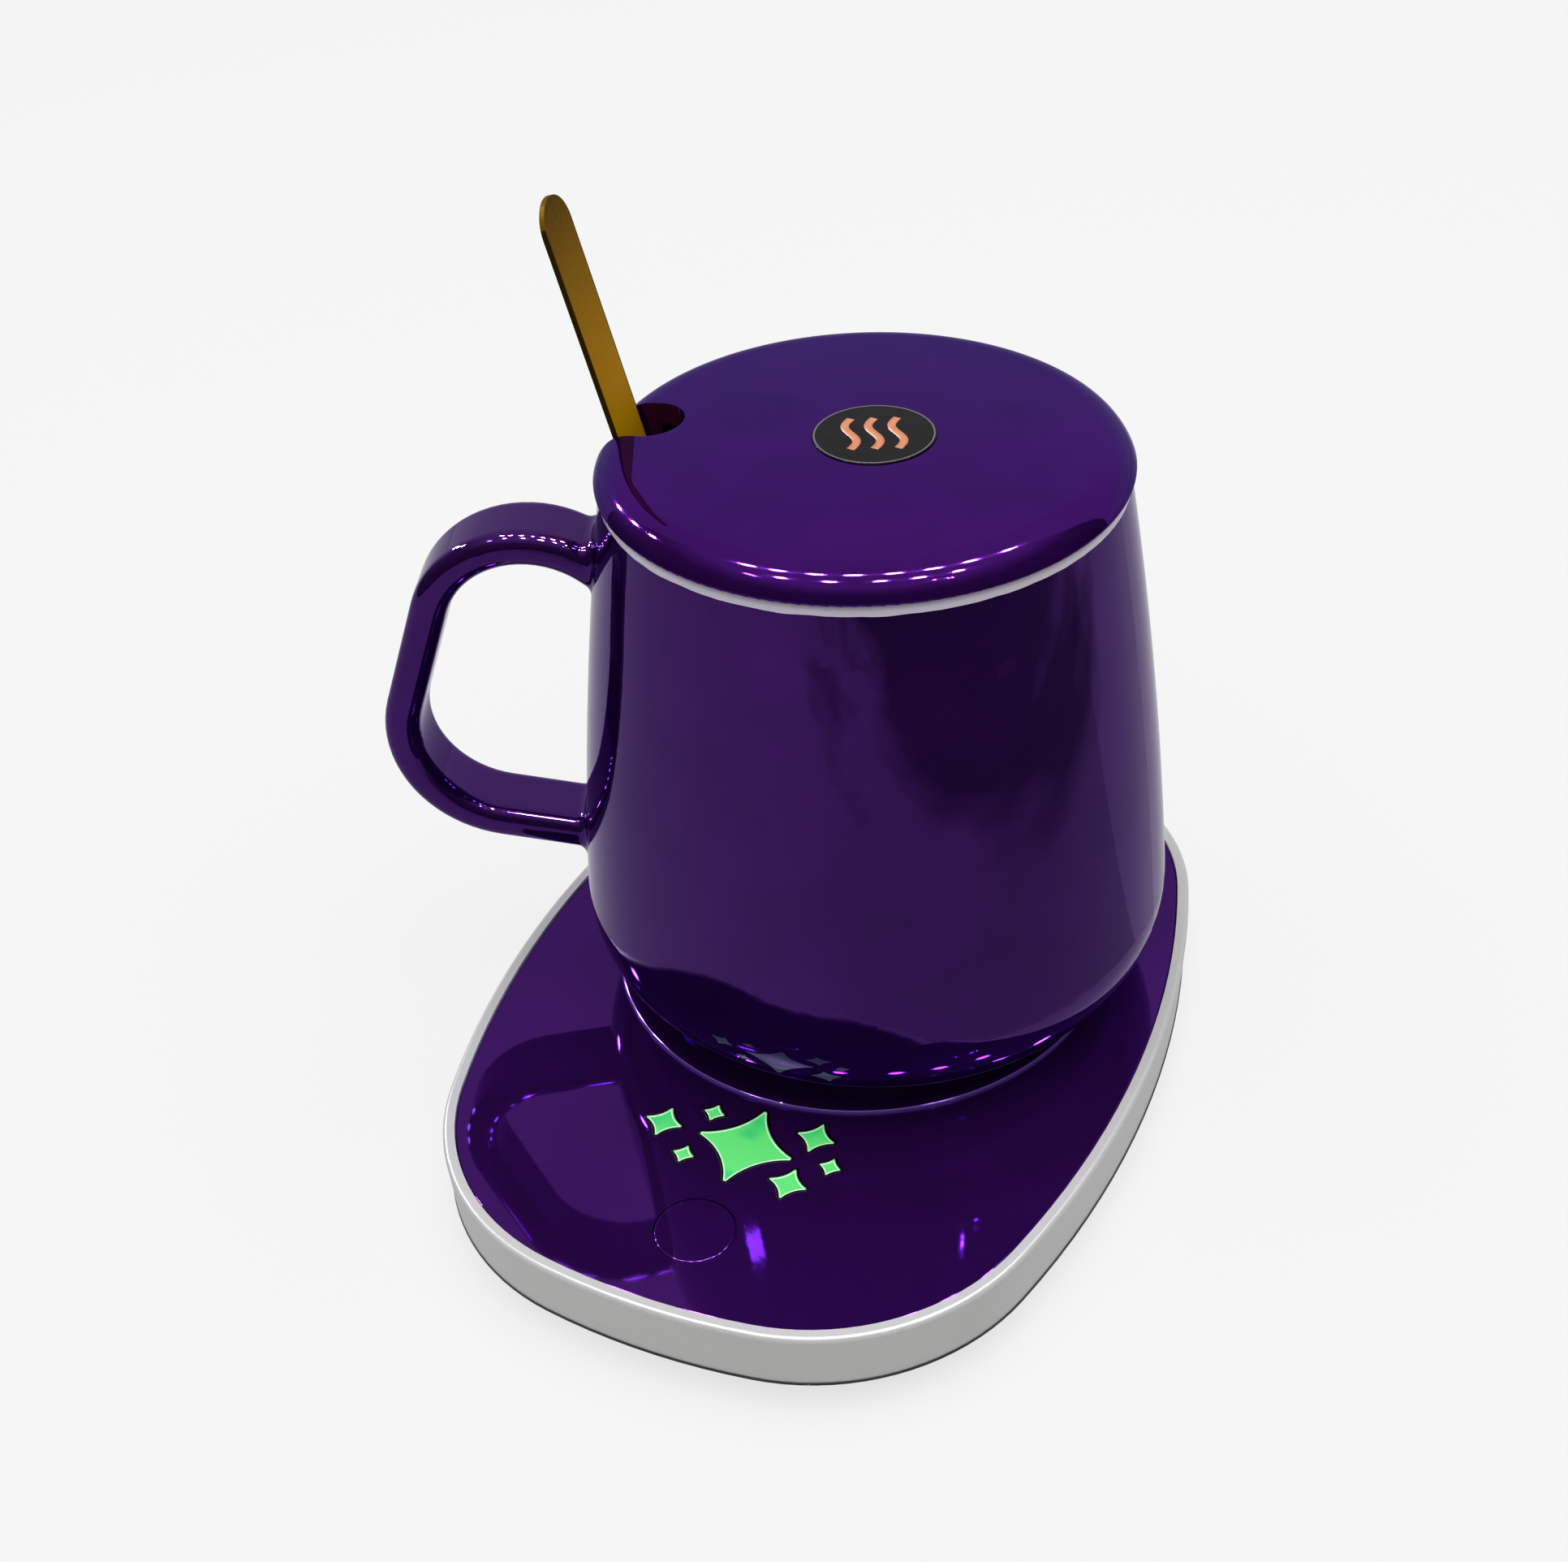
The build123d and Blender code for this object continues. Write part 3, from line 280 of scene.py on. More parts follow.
def grained(name, dark, light, grain, depth, roughness, metallic=0.0):
    material, tree, shader = newFinish(name, Metallic=metallic)
    place = addNode(tree, "ShaderNodeTexCoord").outputs["Object"]
    noise = addNode(tree, "ShaderNodeTexNoise", {"Vector": place, "Scale": 1 / grain, "Detail": 4.0})
    colour = addNode(tree, "ShaderNodeValToRGB", {"Fac": noise.outputs["Fac"]}, stops=toneStops(dark, light))
    gloss = addNode(tree, "ShaderNodeMapRange", {"Value": noise.outputs["Fac"],
                                                 "To Min": roughness - grainLook["glossSpread"],
                                                 "To Max": roughness + grainLook["glossSpread"]})
    bump = addNode(tree, "ShaderNodeBump", {"Height": noise.outputs["Fac"], "Distance": depth,
                                            "Strength": grainLook["strength"]})
    tree.links.new(colour.outputs["Color"], shader.inputs["Base Color"])
    tree.links.new(gloss.outputs["Result"], shader.inputs["Roughness"])
    tree.links.new(bump.outputs["Normal"], shader.inputs["Normal"])
    return material


# each finish: name, dark tone, light tone, size and depth of its grain, roughness, metallic
whiteAbs = ("moulded_abs_white", "#dcdcda", "#e1e1df", 0.5 * mm, 0.004 * mm, 0.34)  # satin white, faintly sparked
blackAbs = ("moulded_abs_black", "#141416", "#1c1c1f", 0.5 * mm, 0.01 * mm, 0.45)  # soft black
zincSteel = ("zinc_plated_steel", "#9d9ea0", "#b8b8ba", 0.8 * mm, 0.005 * mm, 0.3, 1.0)  # bright, faintly spangled
greySilicone = ("silicone_grey", "#4b4b4e", "#58585b", 0.6 * mm, 0.03 * mm, 0.75)  # dull and slightly bloomed
sharedFinishes = [
    (whiteAbs, ("upper_housing", "base_tray")),
    (blackAbs, ("power_inlet",)),
    (zincSteel, ("housing_screws", "pan_screws", "board_screws")),
    (greySilicone, ("foot_ring",)),
]
for sharedFinish, wearers in sharedFinishes:
    sharedMaterial = grained(*sharedFinish)
    for wearer in wearers:
        dress(wearer, sharedMaterial)

# what the housing hides, each in its own material
hiddenFinishes = {
    "film_heater": ("polyimide_film", "#8a4708", "#b06614", 4 * mm, 0.01 * mm, 0.25),  # cloudy amber
    "insulation_pad": ("needled_felt", "#bdb8ac", "#d6d1c6", 0.7 * mm, 0.15 * mm, 0.9),  # pale loose fibre
    "heater_pan": ("pressed_aluminium", "#a9aaae", "#bfc0c4", 3 * mm, 0.01 * mm, 0.32, 1.0),  # clean bright sheet
    "temperature_sensor": ("epoxy_bead", "#17130f", "#2a221a", 1 * mm, 0.02 * mm, 0.4),  # dark brown drop
    "thermal_fuse": ("tinned_brass", "#b9b29c", "#cec8b4", 1 * mm, 0.01 * mm, 0.3, 1.0),  # warm pale metal
    "light_box": ("moulded_abs_black_matt", "#101012", "#18181a", 0.6 * mm, 0.02 * mm, 0.6),  # lightless black
    "led_lights": ("lamp_epoxy", "#e9e2b4", "#f6f1d2", 0.8 * mm, 0.01 * mm, 0.2),  # pale yellow drop
    "circuit_board": ("glass_epoxy_green", "#0d3b1c", "#17572b", 1.2 * mm, 0.01 * mm, 0.4),  # green over woven glass
    "control_chip": ("moulded_epoxy_black", "#0f0f10", "#1a1a1b", 0.4 * mm, 0.01 * mm, 0.5),  # fine matt black
    "power_transistor": ("moulded_epoxy_black_tab", "#121213", "#1d1d1f", 0.4 * mm, 0.01 * mm, 0.5),  # the same
    "smoothing_capacitor": ("sleeved_aluminium", "#1b2440", "#27335a", 1 * mm, 0.01 * mm, 0.35),  # dark blue sleeve
    "tact_switch": ("moulded_nylon_black", "#161617", "#222224", 0.5 * mm, 0.01 * mm, 0.5),  # plain black case
    "switch_plunger": ("moulded_acetal_white", "#d2d2cc", "#e0e0da", 0.5 * mm, 0.01 * mm, 0.4),  # waxy white
    "heater_leads": ("silicone_wire_white", "#c9c4bb", "#d9d5cc", 0.6 * mm, 0.02 * mm, 0.6),  # soft off-white cover
    "power_leads": ("silicone_wire_red", "#7c1712", "#932019", 0.6 * mm, 0.02 * mm, 0.6),  # soft red cover
}
for hiddenNode, hiddenFinish in hiddenFinishes.items():
    dress(hiddenNode, grained(*hiddenFinish))
print("housing and inner parts finished")

# gilt stainless steel: satin brushed along the spoon, with painted shade darkening it towards the tip of the handle
# and on its side edges
gilt = {
    # side: painted shade on the spoon's side edges
    "brown": "#3e2c00", "gold": "#c49300", "side": "#332500",
    "sheen": 0.2,
    "specular": 0.0413,
    "brushing": 0.25 * mm,  # width of the lines, drawn coarser than real ones so that they show
    "length": 14 * mm,
    "lineTone": 0.25,
    "gloss": (0.4, 0.52),
    "depth": 0.004 * mm,
    "strength": 0.3,
    "shadedSideWidth": 0.25 * mm,  # painted shade along the side edges of the handle
}
spoonJoint = next(joint for joint in frame["joints"] if joint["child"] == "spoon")
spoonAcross = up.cross(Vector(spoonJoint["axis"])).normalized()
spoonVertices = nodes["spoon"].data.vertices
acrossPlaces = [spoonAcross.dot(vertex.co) for vertex in spoonVertices if vertex.co.z > lidHigh.z]
spoonMiddle = (min(acrossPlaces) + max(acrossPlaces)) / 2
spoonHalf = (max(acrossPlaces) - min(acrossPlaces)) / 2


def giltSteel():
    material, tree, shader = newFinish("gilt_steel_brushed", Metallic=gilt["sheen"],
                                       **{"Specular Tint": hexColour(gilt["gold"]),
                                          "Specular IOR Level": gilt["specular"]})
    place = addNode(tree, "ShaderNodeTexCoord").outputs["Object"]
    stretch = (1 / gilt["brushing"], 1 / gilt["brushing"], 1 / gilt["length"])
    mapped = addNode(tree, "ShaderNodeMapping", {"Vector": place, "Scale": stretch})
    lines = addNode(tree, "ShaderNodeTexNoise", {"Vector": mapped.outputs["Vector"], "Scale": 1.0, "Detail": 3.0})
    height = addNode(tree, "ShaderNodeSeparateXYZ", {"Vector": place}).outputs["Z"]
    # painted shade: the colour darkens from the lid up to the tip of the handle
    rise = addNode(tree, "ShaderNodeMapRange", {"Value": height, "From Min": spoonHigh.z, "From Max": lidHigh.z})
    tone = addNode(tree, "ShaderNodeMath",
                   {0: lines.outputs["Fac"], 1: gilt["lineTone"], 2: rise.outputs["Result"]},
                   operation="MULTIPLY_ADD")
    colour = addNode(tree, "ShaderNodeValToRGB", {"Fac": tone.outputs[0]},
                     stops=toneStops(gilt["brown"], gilt["gold"], 0.0, 1.0))
    smooth, rough = gilt["gloss"]
    gloss = addNode(tree, "ShaderNodeMapRange", {"Value": lines.outputs["Fac"], "To Min": smooth,
                                                 "To Max": rough})
    bump = addNode(tree, "ShaderNodeBump", {"Height": lines.outputs["Fac"], "Distance": gilt["depth"],
                                            "Strength": gilt["strength"]})
    across = addNode(tree, "ShaderNodeVectorMath", {0: place, 1: tuple(spoonAcross)}, operation="DOT_PRODUCT")
    inner = addNode(tree, "ShaderNodeMath",
                    {0: across.outputs["Value"], 1: spoonMiddle, 2: spoonHalf - gilt["shadedSideWidth"]},
                    operation="COMPARE")  # the face between the strips of painted shade at its edges
    wide = addNode(tree, "ShaderNodeMath", {0: height, 1: lidLow.z}, operation="LESS_THAN")  # neck and bowl
    face = addNode(tree, "ShaderNodeMath", {0: inner.outputs[0], 1: wide.outputs[0]}, operation="MAXIMUM")
    mixed = addNode(tree, "ShaderNodeMix", {0: face.outputs[0], 6: hexColour(gilt["side"]),
                                            7: colour.outputs["Color"]}, data_type="RGBA")
    tree.links.new(mixed.outputs[2], shader.inputs["Base Color"])
    tree.links.new(gloss.outputs["Result"], shader.inputs["Roughness"])
    tree.links.new(bump.outputs["Normal"], shader.inputs["Normal"])
    return material


dress("spoon", giltSteel())

# diffusing acrylic: the lit stars, evenly green with a cooler patch here and there
starLight = {"green": "#5fe274", "cool": "#33cc70", "coolTo": 0.34, "greenFrom": 0.5, "patch": 7 * mm, "gloss": 0.25,
             "glow": 0.42}


def diffusingAcrylic():
    material, tree, shader = newFinish("diffusing_acrylic_green", Roughness=starLight["gloss"],
                                       **{"Emission Strength": starLight["glow"]})
    place = addNode(tree, "ShaderNodeTexCoord").outputs["Object"]
    patch = addNode(tree, "ShaderNodeTexNoise", {"Vector": place, "Scale": 1 / starLight["patch"], "Detail": 1.0})
    stops = toneStops(starLight["cool"], starLight["green"], starLight["coolTo"], starLight["greenFrom"])
    colour = addNode(tree, "ShaderNodeValToRGB", {"Fac": patch.outputs["Fac"]}, stops=stops)
    tree.links.new(colour.outputs["Color"], shader.inputs["Base Color"])
    tree.links.new(colour.outputs["Color"], shader.inputs["Emission Color"])
    return material


dress("star_lens", diffusingAcrylic())

# lacquered disc: near black under a clear gloss, with a fine pale ring inside its rim
badge = {"black": "#131113", "soft": "#1b181b", "ring": "#8a8092", "ior": 1.15, "gloss": 0.2, "mottle": 3 * mm,
         "ringAt": 0.965, "ringWidth": 0.012}  # shares of the disc's radius


def lacqueredDisc():
    material, tree, shader = newFinish("lacquered_disc_black", IOR=badge["ior"], Roughness=badge["gloss"])
    place = addNode(tree, "ShaderNodeTexCoord").outputs["Object"]
    fromAxis = addNode(tree, "ShaderNodeVectorMath", {0: place, 1: tuple(badgeAxis)}, operation="SUBTRACT")
    flat = addNode(tree, "ShaderNodeVectorMath", {0: fromAxis.outputs["Vector"], 1: levelOnly},
                   operation="MULTIPLY")
    reach = addNode(tree, "ShaderNodeVectorMath", {0: flat.outputs["Vector"]}, operation="LENGTH")
    badgeReach = (badgeHigh.x - badgeLow.x) / 2
    share = addNode(tree, "ShaderNodeMath", {0: reach.outputs["Value"], 1: badgeReach}, operation="DIVIDE")
    near = addNode(tree, "ShaderNodeMath", {0: share.outputs[0], 1: badge["ringAt"], 2: badge["ringWidth"]},
                   operation="COMPARE")
    mottle = addNode(tree, "ShaderNodeTexNoise", {"Vector": place, "Scale": 1 / badge["mottle"], "Detail": 3.0})
    colour = addNode(tree, "ShaderNodeValToRGB", {"Fac": mottle.outputs["Fac"]},
                     stops=toneStops(badge["black"], badge["soft"]))
    mixed = addNode(tree, "ShaderNodeMix", {0: near.outputs[0], 6: colour.outputs["Color"],
                                            7: hexColour(badge["ring"])}, data_type="RGBA")
    tree.links.new(mixed.outputs[2], shader.inputs["Base Color"])
    return material


dress("lid_badge", lacqueredDisc())
print("spoon, stars and badge finished")


# a flat ribbon along a path: the painted shade and painted highlight lines round the stars, the printed strokes on
# the badge and the painted shade in the seam
def ribbonTree():
    tree = bpy.data.node_groups.new("ribbonAlongPath", "GeometryNodeTree")
    for name, kind in (("Path", "NodeSocketGeometry"), ("Width", "NodeSocketFloat"),
                       ("Height", "NodeSocketFloat"), ("Finish", "NodeSocketMaterial")):
        tree.interface.new_socket(name, in_out="INPUT", socket_type=kind)
    tree.interface.new_socket("Ribbon", in_out="OUTPUT", socket_type="NodeSocketGeometry")
    given = addNode(tree, "NodeGroupInput").outputs
    path = addNode(tree, "GeometryNodeMeshToCurve", {"Mesh": given["Path"]})
    upright = addNode(tree, "GeometryNodeSetCurveNormal", {"Curve": path.outputs["Curve"]}, mode="Z_UP")
    section = addNode(tree, "GeometryNodeCurvePrimitiveQuadrilateral", {"Width": given["Width"],
                                                                        "Height": given["Height"]})
    swept = addNode(tree, "GeometryNodeCurveToMesh", {"Curve": upright.outputs["Curve"],
                                                      "Profile Curve": section.outputs["Curve"],
                                                      "Fill Caps": True})
    real = addNode(tree, "GeometryNodeRealizeInstances", {"Geometry": swept.outputs["Mesh"]})
    faced = addNode(tree, "GeometryNodeSetMaterial", {"Geometry": real.outputs["Geometry"],
                                                      "Material": given["Finish"]})
    addNode(tree, "NodeGroupOutput", {"Ribbon": faced.outputs["Geometry"]})
    return tree


ribbons = ribbonTree()


def addRibbon(name, paths, closed, width, height, finish, body):
    points = [tuple(point) for path in paths for point in path]
    edges = []
    first = 0
    for path in paths:
        edges += [(first + step, first + step + 1) for step in range(len(path) - 1)]
        if closed:
            edges.append((first + len(path) - 1, first))
        first += len(path)
    line = bpy.data.meshes.new(name + "Path")
    line.from_pydata(points, edges, [])
    piece = bpy.data.objects.new(name, line)
    bpy.context.scene.collection.objects.link(piece)
    sweep = piece.modifiers.new("ribbon", "NODES")
    sweep.node_group = ribbons
    values = {"Width": width, "Height": height, "Finish": finish}
    for socket in ribbons.interface.items_tree:
        if socket.name in values:
            sweep[socket.identifier] = values[socket.name]
    seen = piece.evaluated_get(bpy.context.evaluated_depsgraph_get())
    made = bpy.data.meshes.new_from_object(seen)
    piece.modifiers.clear()
    piece.data = made
    bpy.data.meshes.remove(line)
    made.name = name
    solid = bmesh.new()
    solid.from_mesh(made)
    bmesh.ops.recalc_face_normals(solid, faces=solid.faces)
    solid.to_mesh(made)
    solid.free()
    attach(piece, body)


# print, and the painted shade and painted highlight lines round the stars: a flat screen colour with a slightly
# uneven tone, matt where shine is low
lineGrain = {"patch": 1.5 * mm, "depth": 0.002 * mm, "roughness": 0.4}


def printAndPaintedLineFinish(name, dark, light, glow=0.0, shine=0.5):
    material = grained(name, dark, light, lineGrain["patch"], lineGrain["depth"], lineGrain["roughness"])
    shader = next(node for node in material.node_tree.nodes if node.type == "BSDF_PRINCIPLED")
    shader.inputs["Emission Color"].default_value = hexColour(light)
    shader.inputs["Emission Strength"].default_value = glow
    shader.inputs["Specular IOR Level"].default_value = shine
    return material


# outlines of a node's level faces at one height, each a ring of points with the face on its left
tracing = {"merge": 0.002 * mm, "slope": 0.9, "band": 0.1 * mm}


def levelLoops(node, height, facing):
    solid = bmesh.new()
    solid.from_mesh(nodes[node].data)
    solid.transform(nodes[node].matrix_world)
    bmesh.ops.remove_doubles(solid, verts=solid.verts, dist=tracing["merge"])
    level = {face for face in solid.faces if face.normal.z * facing > tracing["slope"]
             and abs(face.calc_center_median().z - height) < tracing["band"]}
    rim = {}
    for face in level:
        for corner in face.loops:
            if sum(near in level for near in corner.edge.link_faces) == 1:
                rim[corner.vert] = corner.link_loop_next.vert
    loops = []
    while rim:
        vert = next(iter(rim))
        loop = []
        while vert in rim:
            loop.append(vert.co.copy())
            vert = rim.pop(vert)
        loops.append(loop)
    solid.free()
    return loops


def grown(loop, step, height):  # the outline moved outwards
    moved = []
    for place, point in enumerate(loop):
        before = (point - loop[place - 1]).normalized()
        after = (loop[(place + 1) % len(loop)] - point).normalized()
        along = (before + after).normalized()
        moved.append(Vector((point.x + along.y * step, point.y - along.x * step, height)))
    return moved


# painted light round the stars' edge: a black line of painted shade outside and a pale, faintly glowing line of
# painted highlight inside
trim = {"dark": 0.45 * mm, "pale": 0.3 * mm, "thick": 0.08 * mm, "blackShine": 0.03, "paleGlow": 0.3}
outlines = levelLoops("star_lens", panelTop, 1)
starShadeFinish = printAndPaintedLineFinish("painted_shade_black", "#030205", "#07050a", 0.0, trim["blackShine"])
starHighlightFinish = printAndPaintedLineFinish("painted_highlight_pale_green", "#a9f2b4", "#b8f9c0", trim["paleGlow"])
addRibbon("starShadowLine", [grown(loop, trim["dark"] / 2, panelTop) for loop in outlines], True, trim["dark"],
          trim["thick"], starShadeFinish, "warmer")
addRibbon("starBrightLine", [grown(loop, -trim["pale"] / 2, panelTop) for loop in outlines], True, trim["pale"],
          trim["thick"], starHighlightFinish, "warmer")

# plain motif on the badge: three strokes of steam
steam = {"strokes": 3, "spacing": 3.5 * mm, "rise": 9.6 * mm, "sway": 0.9 * mm, "width": 1.25 * mm,
         "thick": 0.1 * mm, "steps": 24, "turn": 22.0}
steamTurn = Matrix.Rotation(math.radians(steam["turn"]), 4, "Z")
badgeTop = Vector((badgeAxis.x, badgeAxis.y, badgeHigh.z))
steamPaths = []
for stroke in range(steam["strokes"]):
    strokePath = []
    for step in range(steam["steps"] + 1):
        share = step / steam["steps"]
        aside = (stroke - (steam["strokes"] - 1) / 2) * steam["spacing"]
        aside += steam["sway"] * math.sin(2 * math.pi * share)
        strokePath.append(badgeTop + steamTurn @ Vector((aside, (share - 0.5) * steam["rise"], 0)))
    steamPaths.append(strokePath)
addRibbon("badgeSteam", steamPaths, False, steam["width"], steam["thick"],
          printAndPaintedLineFinish("screen_ink_orange", "#ef8a4e", "#f79a60"), "lid")
print("printed lines laid:", len(outlines), "stars and", steam["strokes"], "strokes")

# painted shade: a dark band in the seam below the wall, standing for the shadow of the gap there, just in sight all
# round
shadeLine = {"width": 0.8 * mm, "height": 0.5 * mm, "proud": 0.15 * mm}
darkSeamFinish = ("painted_seam_shade", "#151517", "#202023", 0.6 * mm, 0.01 * mm, 0.6)  # dull black
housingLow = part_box("upper_housing")[0].z
seams = levelLoops("upper_housing", housingLow, -1)
seam = max(seams, key=lambda loop: max(point.x for point in loop))  # the outer edge of the wall
seamArea = sum(one.x * two.y - one.y * two.x for one, two in zip(seam, seam[1:] + seam[:1]))
outwards = 1 if seamArea > 0 else -1  # by which way round the seam runs
seamPath = grown(seam, outwards * (shadeLine["proud"] - shadeLine["width"] / 2), housingLow - shadeLine["height"] / 2)
addRibbon("seamShadeRibbon", [seamPath], True, shadeLine["width"], shadeLine["height"], grained(*darkSeamFinish),
          "warmer")
print("seam gasket laid")

# studio: a pale floor that keeps the shadow, even light from all round and a wide soft ceiling
studio = {
    "paleFloor": "#fefefe",
    "bounce": "#d2d2d0",  # what the floor gives back to the object
    "glossFloor": "#d2d0d4",  # the floor in the glaze
    "floorHalf": 3.0,  # half its width in metres
    "floorDrop": 0.1 * mm,  # keeps floor and feet apart
    "skyColour": "#f4f4f5",
    "sky": 0.42,
    "glossSky": 0.8,
    "lift": 0.7,  # share of the floor's own paleness for the camera
}


def paleFloor():
    material = bpy.data.materials.new("studio_floor")
    material.use_nodes = True
    tree = material.node_tree
    tree.nodes.clear()
    path = addNode(tree, "ShaderNodeLightPath").outputs
    seen = addNode(tree, "ShaderNodeMath", {0: path["Is Camera Ray"], 1: path["Is Glossy Ray"]},
                   operation="MAXIMUM")
    lift = addNode(tree, "ShaderNodeMath", {0: seen.outputs[0], 1: studio["lift"]}, operation="MULTIPLY")
    mirrored = addNode(tree, "ShaderNodeMix", {0: path["Is Glossy Ray"], 6: hexColour(studio["bounce"]),
                                               7: hexColour(studio["glossFloor"])}, data_type="RGBA")
    colour = addNode(tree, "ShaderNodeMix", {0: path["Is Camera Ray"], 6: mirrored.outputs[2],
                                             7: hexColour(studio["paleFloor"])}, data_type="RGBA")
    matt = addNode(tree, "ShaderNodeBsdfDiffuse", {"Color": colour.outputs[2]})
    pale = addNode(tree, "ShaderNodeEmission", {"Color": colour.outputs[2]})
    mixed = addNode(tree, "ShaderNodeMixShader", {0: lift.outputs[0], 1: matt.outputs[0], 2: pale.outputs[0]})
    addNode(tree, "ShaderNodeOutputMaterial", {"Surface": mixed.outputs[0]})
    return material


def addMesh(name, points, faces, material):
    mesh = bpy.data.meshes.new(name)
    mesh.from_pydata([tuple(point) for point in points], [], faces)
    mesh.materials.append(material)
    made = bpy.data.objects.new(name, mesh)
    bpy.context.scene.collection.objects.link(made)
    return made


half = studio["floorHalf"]
low = -studio["floorDrop"]
floor = addMesh("studioFloor", [(-half, -half, low), (half, -half, low), (half, half, low), (-half, half, low)],
                [(0, 1, 2, 3)], paleFloor())

# dark sheets seen only in the glaze, in metres and degrees: a cloth and a fainter shade on the floor,
# and a soft screen round the camera's side
cloth = {"bearing": -31, "reach": 0.4, "long": 0.58, "deep": 0.28, "height": 0.001, "colour": "#16101c",
         "folds": 4.0, "ragged": 0.9, "clear": 0.42, "full": 0.3}
darkScreen = {"first": -190, "last": 40, "steps": 24, "reach": 0.9, "high": 1.35, "colour": "#1a1420",
              "clear": 1.0, "full": 0.5}
dimFloor = {"first": -105, "last": 20, "steps": 16, "near": 0.08, "far": 0.9, "height": 0.0005,
            "colour": "#1a1420", "cover": 0.4, "soft": 0.45}
mattSheet = 0.9  # roughness of all three


def addShade(name, points, faces, places, colour, cover):  # a sheet with its own UV, clear where cover's mask is 0
    material, tree, shader = newFinish(name, Roughness=mattSheet, **{"Base Color": hexColour(colour)})
    place = addNode(tree, "ShaderNodeTexCoord").outputs["UV"]
    clear = addNode(tree, "ShaderNodeBsdfTransparent")
    mixed = addNode(tree, "ShaderNodeMixShader", {0: cover(tree, place), 1: clear.outputs[0],
                                                  2: shader.outputs["BSDF"]})
    tree.links.new(mixed.outputs[0], tree.nodes["Material Output"].inputs["Surface"])
    sheet = addMesh(name, points, faces, material)
    spread = sheet.data.uv_layers.new(name="spread")
    for corner, loop in zip(spread.data, sheet.data.loops):
        corner.uv = places[loop.vertex_index]
    sheet.visible_camera = False
    sheet.visible_diffuse = False
    sheet.visible_shadow = False


def raggedPatch(tree, place):  # a round patch with a torn edge
    folds = addNode(tree, "ShaderNodeTexNoise", {"Vector": place, "Scale": cloth["folds"], "Detail": 3.0})
    ragged = cloth["ragged"]
    moved = addNode(tree, "ShaderNodeVectorMath", {0: folds.outputs["Color"], 1: (ragged, ragged, 0), 2: place},
                    operation="MULTIPLY_ADD")
    centre = (1 + ragged) / 2
    middle = addNode(tree, "ShaderNodeVectorMath", {0: moved.outputs["Vector"], 1: (centre, centre, 0)},
                     operation="SUBTRACT")
    reach = addNode(tree, "ShaderNodeVectorMath", {0: middle.outputs["Vector"]}, operation="LENGTH")
    return addNode(tree, "ShaderNodeMapRange", {"Value": reach.outputs["Value"], "From Min": cloth["clear"],
                                                "From Max": cloth["full"]}).outputs["Result"]


def fadingUp(tree, place):  # full in its lower half, gone at the top
    height = addNode(tree, "ShaderNodeSeparateXYZ", {"Vector": place}).outputs["Y"]
    return addNode(tree, "ShaderNodeMapRange", {"Value": height, "From Min": darkScreen["clear"],
                                                "From Max": darkScreen["full"]}).outputs["Result"]


def fadingAcross(tree, place):  # faint, and gone towards the left
    across = addNode(tree, "ShaderNodeSeparateXYZ", {"Vector": place}).outputs["X"]
    return addNode(tree, "ShaderNodeMapRange", {"Value": across, "From Max": dimFloor["soft"],
                                                "To Max": dimFloor["cover"]}).outputs["Result"]


def bearingWay(bearing):  # level direction of a bearing in degrees
    return Vector((math.cos(math.radians(bearing)), math.sin(math.radians(bearing)), 0))


def risingWay(bearing, rise):  # the same, tilted up by a rise in degrees
    return math.cos(math.radians(rise)) * bearingWay(bearing) + math.sin(math.radians(rise)) * up


axisFoot = Vector((lidAxis.x, lidAxis.y, 0))
clothWay = bearingWay(cloth["bearing"])
clothAlong = bearingWay(cloth["bearing"] + 90)
clothMiddle = axisFoot + cloth["reach"] * clothWay + cloth["height"] * up
clothSpread = [(0, 0), (0, 1), (1, 1), (1, 0)]
clothPoints = [clothMiddle + (2 * end - 1) * cloth["deep"] * clothWay + (2 * side - 1) * cloth["long"] * clothAlong
               for side, end in clothSpread]
addShade("darkCloth", clothPoints, [(0, 1, 2, 3)], clothSpread, cloth["colour"], raggedPatch)


def addBand(name, band, near, far, cover):  # a sheet bent round the lid's axis between two (reach, height) ends
    points = []
    places = []
    for step in range(band["steps"] + 1):
        share = step / band["steps"]
        out = bearingWay(band["first"] + share * (band["last"] - band["first"]))
        for end, (reach, height) in enumerate((near, far)):
            points.append(axisFoot + reach * out + height * up)
            places.append((share, end))
    faces = [(2 * step, 2 * step + 1, 2 * step + 3, 2 * step + 2) for step in range(band["steps"])]
    addShade(name, points, faces, places, band["colour"], cover)


addBand("darkScreen", darkScreen, (darkScreen["reach"], 0), (darkScreen["reach"], darkScreen["high"]), fadingUp)
addBand("dimFloor", dimFloor, (dimFloor["near"], dimFloor["height"]), (dimFloor["far"], dimFloor["height"]),
        fadingAcross)

world = bpy.data.worlds.new("studio")
bpy.context.scene.world = world
world.use_nodes = True
skyTree = world.node_tree
skyTree.nodes.clear()
skyPath = addNode(skyTree, "ShaderNodeLightPath").outputs
skyLook = [(studio["skyColour"], studio["sky"]), (studio["skyColour"], studio["glossSky"]),
           (studio["paleFloor"], 1.0)]  # for the object, for the glaze and for the camera
skyLight, skyGloss, skySeen = [addNode(skyTree, "ShaderNodeBackground", {"Color": hexColour(colour),
                                                                         "Strength": strength}).outputs[0]
                               for colour, strength in skyLook]
skyMix = addNode(skyTree, "ShaderNodeMixShader", {0: skyPath["Is Glossy Ray"], 1: skyLight, 2: skyGloss})
skyAll = addNode(skyTree, "ShaderNodeMixShader", {0: skyPath["Is Camera Ray"], 1: skyMix.outputs[0], 2: skySeen})
addNode(skyTree, "ShaderNodeOutputWorld", {"Surface": skyAll.outputs[0]})

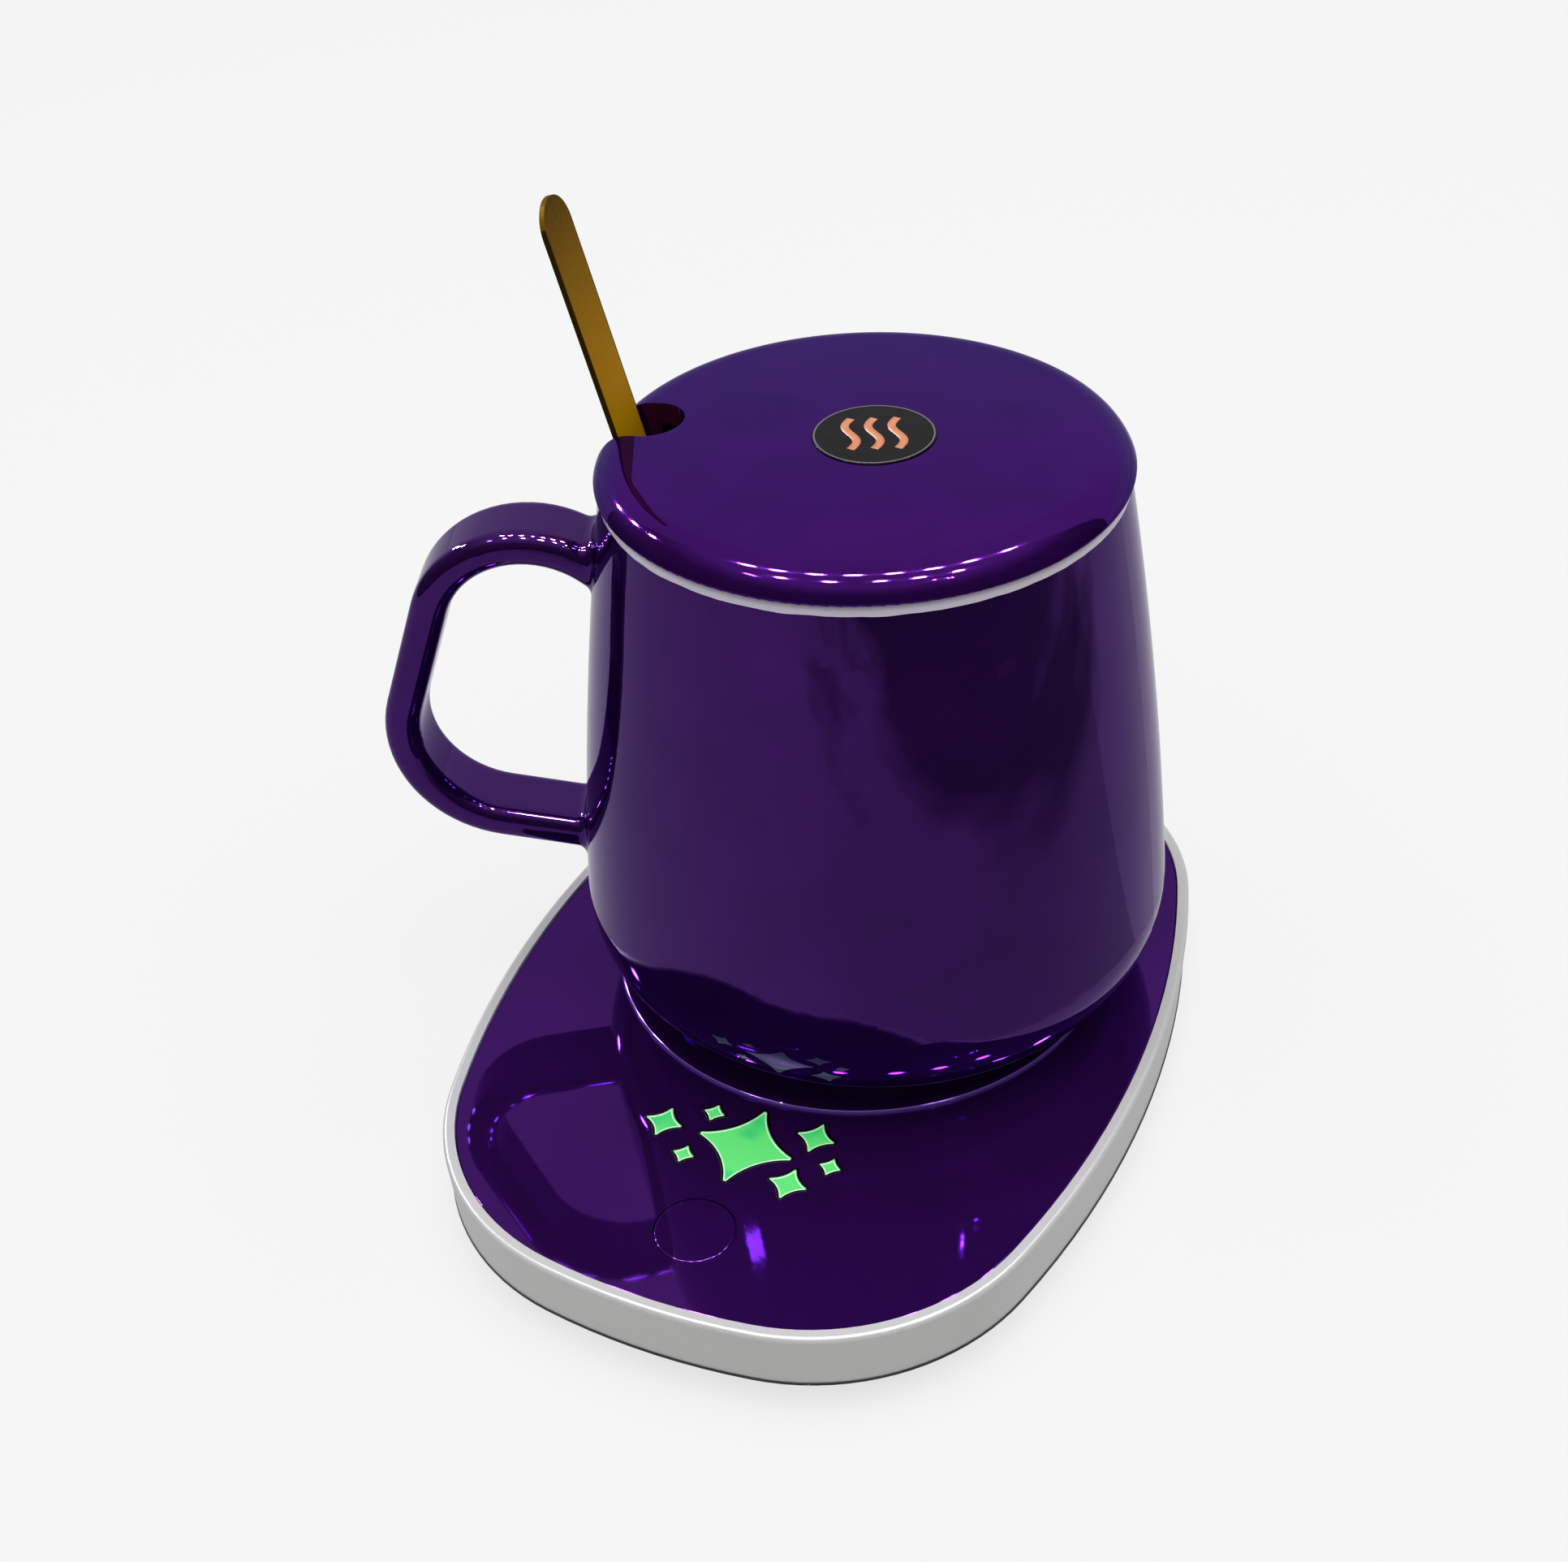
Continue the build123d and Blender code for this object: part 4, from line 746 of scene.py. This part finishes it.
# camera: where the photograph was taken from
shot = {
    "place": Vector((112.05, -258.43, 262.65)) * mm,
    "aim": Vector((-15.36, 4.37, 43.72)) * mm,
    "roll": -3.49,  # degrees
    "focus": 2600,  # focal length in pixels of the photograph
    "width": 1932,  # of the photograph, in pixels
    "sensor": 36.0,
    "clip": 10 * mm,
}
cameraData = bpy.data.cameras.new("photoCamera")
cameraData.sensor_width = shot["sensor"]
cameraData.lens = shot["focus"] / shot["width"] * shot["sensor"]
cameraData.clip_start = shot["clip"]
photoCamera = bpy.data.objects.new("photoCamera", cameraData)
bpy.context.scene.collection.objects.link(photoCamera)
turned = (shot["aim"] - shot["place"]).to_track_quat("-Z", "Y").to_matrix().to_4x4()
turned = turned @ Matrix.Rotation(math.radians(shot["roll"]), 4, "Z")
photoCamera.matrix_world = Matrix.Translation(shot["place"]) @ turned
bpy.context.scene.camera = photoCamera


def addLamp(name, kind, place, aim, power, **settings):
    data = bpy.data.lights.new(name, kind)
    data.energy = power
    for setting, value in settings.items():
        setattr(data, setting, value)
    lamp = bpy.data.objects.new(name, data)
    lamp.matrix_world = Matrix.Translation(place) @ (aim - place).to_track_quat("-Z", "Y").to_matrix().to_4x4()
    lamp.visible_camera = False
    bpy.context.scene.collection.objects.link(lamp)
    return lamp


ceiling = {"place": Vector((0.1, -0.1, 1.6)), "power": 16.0, "wide": 2.2, "deep": 1.8}
objectMiddle = (cadBox[0] + cadBox[1]) / 2
softCeiling = addLamp("softCeiling", "AREA", ceiling["place"], objectMiddle, ceiling["power"], shape="RECTANGLE",
                      size=ceiling["wide"], size_y=ceiling["deep"])
softCeiling.visible_glossy = False  # the glaze shows the even sky instead

# small spots seen only as points in the glaze, each where one place of the lid's edge mirrors it to the camera
spots = {"distance": 0.8, "radius": 0.022, "power": 14.0, "facing": -66.5,
         "rows": [(52, (-66, -58, -51, -18, -8, 2, 10, 18)), (62, (-26, -19, -11, -3, 5, 13, 21, 30))]}
for tilt, turns in spots["rows"]:  # tilt and turn of the edge's normal, in degrees
    for turn in turns:
        normal = risingWay(spots["facing"] + turn, tilt)
        edge = lidAxis + lidReach * bearingWay(spots["facing"] + turn)
        view = (shot["place"] - edge).normalized()
        lampWay = 2 * normal.dot(view) * normal - view
        addLamp(f"glazeSpot{tilt}.{turn}", "POINT", edge + spots["distance"] * lampWay, edge, spots["power"],
                shadow_soft_size=spots["radius"]).visible_diffuse = False

# three points and a small window that reach the panel by way of the mug's wall: bearing and rise in degrees
glints = {"distance": 1.3, "places": [(-29.5, 55.8), (-24, 53.6), (-22, 52.6)], "radius": 0.006, "power": 2.0,
          "window": (-133.5, 56.1), "wide": 0.115, "high": 0.045, "windowPower": 1.5}
for number, glintPlace in enumerate(glints["places"]):
    addLamp(f"glint{number}", "POINT", objectMiddle + glints["distance"] * risingWay(*glintPlace), objectMiddle,
            glints["power"], shadow_soft_size=glints["radius"]).visible_diffuse = False
windowPlace = objectMiddle + glints["distance"] * risingWay(*glints["window"])
addLamp("smallWindow", "AREA", windowPlace, objectMiddle, glints["windowPower"], shape="RECTANGLE",
        size=glints["wide"], size_y=glints["high"]).visible_diffuse = False
bpy.context.scene.view_settings.view_transform = "Standard"
print("studio, camera and lamps ready")
